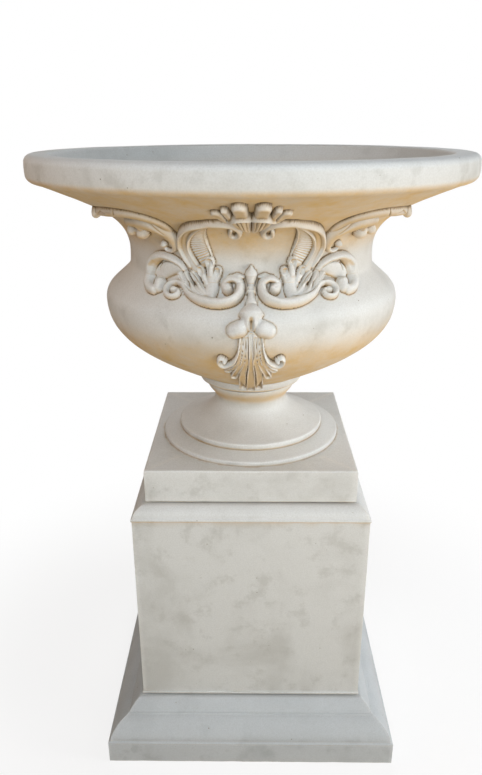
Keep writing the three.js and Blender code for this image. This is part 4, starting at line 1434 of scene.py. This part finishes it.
SIDE_LEAF = Ornament("side_leaf", paired=True, strokes=(
    # The long crescent, from a small hook at the bottom to its broad outer end, on a flatter leaf
    Stroke(((29, 56.3), (29.8, 65.7), (32.4, 73.1), (36.6, 77.5), (42, 78.7), (48, 77.8), (53.5, 76.8)),
           (4, 7, 9.5, 10.5, 11, 10.5, 8.5), (6, 8, 9, 10, 11, 12, 12)),
    Stroke(((36.4, 38.9), (35.6, 36.1), (33.6, 35.2), (31.8, 37.4), (30.8, 41.4), (30.2, 47.6),
            (30.2, 54.5), (31.5, 60.7), (34.6, 65.7), (39, 68.1), (44, 67.5)),
           (3, 3.2, 3.8, 4.6, 6, 8.4, 11, 13, 14, 14, 12.5), (8, 9, 10, 11, 12, 14, 15, 15, 15, 14, 12)),
    Stroke(((30.5, 61.3), (33.5, 69.1), (38.5, 73.1), (43.5, 73.1)),
           (1.2, 1.6, 1.6, 1), (2, 3, 3, 1), GROOVE),
    # The bud at its outer end, and the folds before it
    Stroke(((56.2, 76.5),), (10,), (18,)),
    Stroke(((41.5, 82.4), (43.2, 78.1), (45.2, 73.1)), (1.4, 2, 1.4), (3, 5, 3), GROOVE),
    Stroke(((46.5, 79.3), (50, 79.3), (53, 77.8)), (1.2, 1.8, 1.2), (2, 4, 2), GROOVE),
    # The beads under the crescent and in its hook
    Stroke(((43.6, 65), (44.6, 54.2), (51, 55.4)), (7, 6, 6), (9, 9, 8)),
    Stroke(((44.6, 54.2),), (13,), (17,)),
    Stroke(((51, 55.4),), (11,), (15,)),
    Stroke(((36.6, 42),), (6.5,), (11,)),
))

SHELL_PENDANT = Ornament("shell_pendant", strokes=(
    # The smooth petal at the top, and two round lobes that hang from it
    Stroke(((0, -11.2), (0, -13.4), (0, -16.5), (0, -20.5)), (9, 16, 21, 15), (12, 17, 21, 17)),
    *both(
        Stroke(((1.3, -17.4), (2.6, -21.4)), (7, 8), (13, 13)),
        Stroke(((3.7, -25.1), (5.5, -26.7)), (14, 13.5), (18, 17)),
    ),
    Stroke(((0, -20.9), (0, -24.5), (0, -28)), (1.8, 2.4, 2.8), (6, 4, 4), HOLE),
    # The fan: a plate, then its flutes from the side inwards
    Stroke(((0, -32.4), (0, -41.3), (0, -47.9), (0, -56.8), (0, -62.5), (0, -67.8), (0, -74.5),
            (0, -80.2), (0, -85.5)),
           (15, 18, 23, 31, 33, 27, 21, 16, 9), (5, 6, 6, 6, 6, 8, 10, 12, 12), FLAT),
    *both(
        Stroke(((3.55, -30.7), (4.1, -41.3), (4.8, -46.6), (6, -51), (7.6, -53.7), (9.8, -55.2),
                (11.2, -53.5), (11.4, -50.4), (10.6, -48.1), (9.7, -48.4)),
               (1.8, 2.2, 3, 3.8, 4, 4, 4, 3.8, 3.5, 3), (9, 10, 11, 12, 12, 13, 13, 13, 12, 12)),
        Stroke(((9.2, -50.1),), (5,), (15,)),
        Stroke(((2.9, -30.7), (3.3, -41.3), (4.2, -50.1), (5, -54.6), (6.5, -58.1), (8.2, -60.8),
                (9.3, -62.3)),
               (2, 2.5, 3.4, 4, 4.8, 5.8, 6), (9, 10, 11, 11, 11, 10, 9), CUPPED),
        Stroke(((2.1, -30.7), (2.3, -41.3), (2.8, -50.1), (3.35, -54.6), (4.7, -59), (6.1, -63.8),
                (7.3, -68.5)),
               (2, 2.5, 3.2, 4, 5.6, 6.9, 6.4), (9, 10, 11, 12, 13, 14, 13), CUPPED),
        Stroke(((1.3, -30.7), (1.35, -41.3), (1.55, -50.1), (1.8, -54.6), (3.1, -63.4), (3.75, -70.5),
                (4.2, -77.6), (4.7, -82.9), (4.9, -86.4)),
               (2, 2.3, 3, 3.6, 6.3, 7.2, 7.3, 7.4, 6.8), (9, 10, 11, 12, 12, 13, 15, 18, 18), CUPPED),
    ),
    Stroke(((0, -28.9), (0, -39.1), (0, -47.9), (0, -56.8), (0, -65.6), (0, -76.7), (0, -83.8), (0, -88.6)),
           (4.8, 4.5, 4.4, 5.6, 8, 9.2, 9.6, 9), (10, 12, 13, 13, 13, 15, 19, 20), CUPPED),
    *both(
        Stroke(((0.95, -31.5), (0.9, -43.5), (1.05, -54.6), (1.7, -63.4), (2.25, -74.5), (2.7, -81.5),
                (3.2, -87.3)),
               (1, 1.1, 1.3, 1.5, 1.6, 1.7, 1.5), (3, 4, 4.5, 5, 6, 6, 4), GROOVE),
        Stroke(((1.7, -31.5), (1.9, -43.5), (2.5, -54.6), (4.3, -62.5), (5.4, -69.2), (5.95, -75.8),
                (6.8, -81.5)),
               (1, 1.1, 1.3, 1.5, 1.6, 1.4), (3, 4, 4.5, 5, 5, 3), GROOVE),
        Stroke(((2.55, -31.5), (2.95, -43.9), (4.2, -54.6), (5.9, -59), (7.4, -62.5), (8.7, -67.4)),
               (1, 1.1, 1.3, 1.5, 1.4), (3, 4, 4.5, 5, 3), GROOVE),
        Stroke(((3.3, -31.5), (3.9, -43.1), (4.9, -50.1), (5.8, -54.6), (7.2, -56.8), (9.3, -58.1),
                (10.7, -59.2)),
               (0.9, 1, 1.2, 1.4, 1.4, 1.3), (3, 4, 4.5, 5, 4, 2), GROOVE),
    ),
))

ORNAMENTS = (CARTOUCHE_BAND, ACANTHUS_SCROLL, FINIAL, CREST_SHELL, SHELL_PENDANT, OUTER_SCROLL, SIDE_LEAF)


def stain_and_shade(bowl: Bowl) -> Callable[[np.ndarray, np.ndarray], np.ndarray]:
    """Gives a function that says how near the ornament is at a place on the bowl, for the staining and
    painted shade round it.
    """
    reliefs = [Relief(bowl, ornament.strokes) for ornament in ORNAMENTS]

    def near(turn: np.ndarray, length: np.ndarray) -> np.ndarray:
        """Gives the nearness of the nearest design."""
        return SHADE_AND_STAIN_STRENGTH * np.max([relief.nearness(turn, length) for relief in reliefs], axis=0)

    return near


# Studio

@dataclass(frozen=True)
class AreaLight:
    """A soft lamp that faces the urn, placed in metres."""

    name: str
    place: tuple[float, float, float]
    aim: tuple[float, float, float]
    size: float
    power: float
    colour: str
    spread: float = 180.0

    def build(self) -> None:
        """Adds the lamp."""
        data = bpy.data.lights.new(self.name, "AREA")
        data.spread = math.radians(self.spread)
        data.shape = "DISK"
        data.size = self.size
        data.energy = self.power
        data.color = linear(self.colour)[:3]
        lamp = bpy.data.objects.new(self.name, data)
        lamp.location = self.place
        lamp.rotation_euler = (Vector(self.aim) - Vector(self.place)).to_track_quat("-Z", "Y").to_euler()
        bpy.context.scene.collection.objects.link(lamp)


@dataclass(frozen=True)
class Studio:
    """A pale floor, a white surround and the camera where the photograph was taken from."""

    camera_place: tuple[float, float, float] = (-0.0028, -1.3594, 1.2716)
    camera_tilt: float = 68.66
    camera_turn: float = 0.76
    camera_roll: float = -0.21
    lens: float = 31.57
    film_height: float = 36.0
    floor_half: float = 9.0
    shadow_reach: tuple[float, float] = (0.45, 1.1)
    floor_white: float = 0.8
    surround: str = "#fdf0e0"
    surround_strength: float = 0.1
    floor_colour: str = "#ece3d4"

    def build_camera(self) -> None:
        """Adds the camera."""
        data = bpy.data.cameras.new("camera")
        data.sensor_fit = "VERTICAL"
        data.sensor_height = self.film_height
        data.lens = self.lens
        camera = bpy.data.objects.new("camera", data)
        roll = Matrix.Rotation(math.radians(self.camera_roll), 4, "Z")
        aim = Euler((math.radians(self.camera_tilt), 0, math.radians(self.camera_turn))).to_matrix().to_4x4()
        camera.matrix_world = Matrix.Translation(self.camera_place) @ aim @ roll
        bpy.context.scene.collection.objects.link(camera)
        bpy.context.scene.camera = camera

    def build_floor(self) -> None:
        """Adds the floor: it keeps the shadow near the urn and fades to white further off."""
        bm = bmesh.new()
        bmesh.ops.create_grid(bm, x_segments=1, y_segments=1, size=self.floor_half / MM)
        floor = as_object(bm, "floor")
        material, tree = new_material("pale_studio_floor")
        at = add_node(tree, "ShaderNodeTexCoord").outputs["Object"]
        far = add_node(tree, "ShaderNodeVectorMath", {"operation": "LENGTH"}, {0: at}).outputs["Value"]
        fade = ranged(tree, far, self.shadow_reach, least=self.floor_white, smooth=True)
        seen = seen_directly(tree, add_node(tree, "ShaderNodeLightPath"))
        share = product(tree, fade, seen)
        tone = add_node(tree, "ShaderNodeMix", {
            "data_type": "RGBA", COLOUR_A: linear(self.floor_colour), COLOUR_B: (1, 1, 1, 1)}, {FACTOR: seen})
        matt = add_node(tree, "ShaderNodeBsdfDiffuse", links={"Color": tone.outputs[COLOUR_RESULT]})
        white = add_node(tree, "ShaderNodeEmission", {"Strength": 1.0})
        mixed = add_node(tree, "ShaderNodeMixShader", links={
            0: share, 1: matt.outputs["BSDF"], 2: white.outputs["Emission"]})
        add_node(tree, "ShaderNodeOutputMaterial", links={"Surface": mixed.outputs["Shader"]})
        dress(floor, material)

    def build_surround(self) -> None:
        """Makes the world white to the camera and in reflections, and a plain level of light to the rest."""
        world = bpy.data.worlds.new("surround")
        world.use_nodes = True
        bpy.context.scene.world = world
        tree = world.node_tree
        tree.nodes.clear()
        path = add_node(tree, "ShaderNodeLightPath")
        seen = add_node(tree, "ShaderNodeMath", {"operation": "MAXIMUM"}, {
            0: seen_directly(tree, path), 1: path.outputs["Is Transmission Ray"]}).outputs[0]
        light = add_node(tree, "ShaderNodeBackground", {
            "Color": linear(self.surround), "Strength": self.surround_strength})
        white = add_node(tree, "ShaderNodeBackground", {"Color": (1, 1, 1, 1), "Strength": 1.0})
        mixed = add_node(tree, "ShaderNodeMixShader", links={
            0: seen, 1: light.outputs["Background"], 2: white.outputs["Background"]})
        add_node(tree, "ShaderNodeOutputWorld", links={"Surface": mixed.outputs["Shader"]})

    def build(self, lights: Iterable[AreaLight]) -> None:
        """Builds the studio."""
        bpy.context.scene.view_settings.view_transform = "Standard"
        self.build_camera()
        self.build_floor()
        self.build_surround()
        for light in lights:
            light.build()


LIGHTS = (
    AreaLight("key", (2.75, -1.15, 3.6), (0.0, 0.0, 0.7), 1.3, 17.0, "#ecf6ff"),
    AreaLight("side", (2.6, -0.6, 0.9), (0.0, 0.0, 0.3), 1.0, 9.5, "#fdfdff", 90.0),
    AreaLight("back", (0.5, 2.9, 2.3), (0.0, 0.0, 0.7), 1.8, 42.0, "#f4f6fa"),
    AreaLight("front", (-0.2, -2.5, 2.2), (0.0, 0.0, 1.15), 1.5, 9.8, "#eff7ff", 100.0),
    AreaLight("low_front", (0.0, -2.8, 1.2), (0.0, 0.0, 0.6), 1.5, 14.6, "#fafcfb"),
    AreaLight("warm_left", (-2.0, -0.5, 1.8), (0.0, 0.0, 1.15), 1.0, 2.6, "#ffc080", 110.0),
    AreaLight("low_right", (1.2, -1.7, 0.3), (0.0, 0.0, 1.15), 1.0, 2.7, "#fff6ea", 70.0),
)


def main() -> None:
    """Builds the urn from the ground up, then the studio round it."""
    logging.basicConfig(level=logging.INFO, format="%(name)s: %(message)s")
    cast = CastStone("wet_cast_stone").material()
    # The base course gets a darker, greyer copy of the stone
    darker_stone = CastStone("darker_cast_stone", body="#bec1c2", cloud="#9b9e9d", film_and_sky_light="#c9d0d4",
                     worn="#d6d9da").material()
    pressed = CastStone("pressed_stone", cloud_strength=0.25, tan_strength=0.8, wash_and_shade_strength=0.75,
                        recess_strength=1.0).material()
    mortar = GrittyPaste("raked_lime_mortar", "#6a5a40", "#93835f", 3.0, 0.95).material()
    rubber = GrittyPaste("dusty_black_rubber", "#1d1c1b", "#56524c", 5.0, 0.8).material()
    steel = GalvanisedSteel("galvanised_steel").material()

    pedestal = Pedestal()
    pedestal.build_base(darker_stone)
    pedestal.build_die(cast)
    Foot().build(cast)
    bowl = Bowl()
    bowl.build(cast, stain_and_shade(bowl))
    for ornament in ORNAMENTS:
        ornament.build(bowl, pressed)

    finishes = {"mortar": mortar, "rubber": rubber, "zinc_steel": steel}
    for subpart in frame["record"]["subparts"]:
        if subpart["material_slot"] in finishes:
            dress(frame["nodes"][subpart["node"]], finishes[subpart["material_slot"]])

    Studio().build(LIGHTS)


if __name__ == "__main__":
    main()
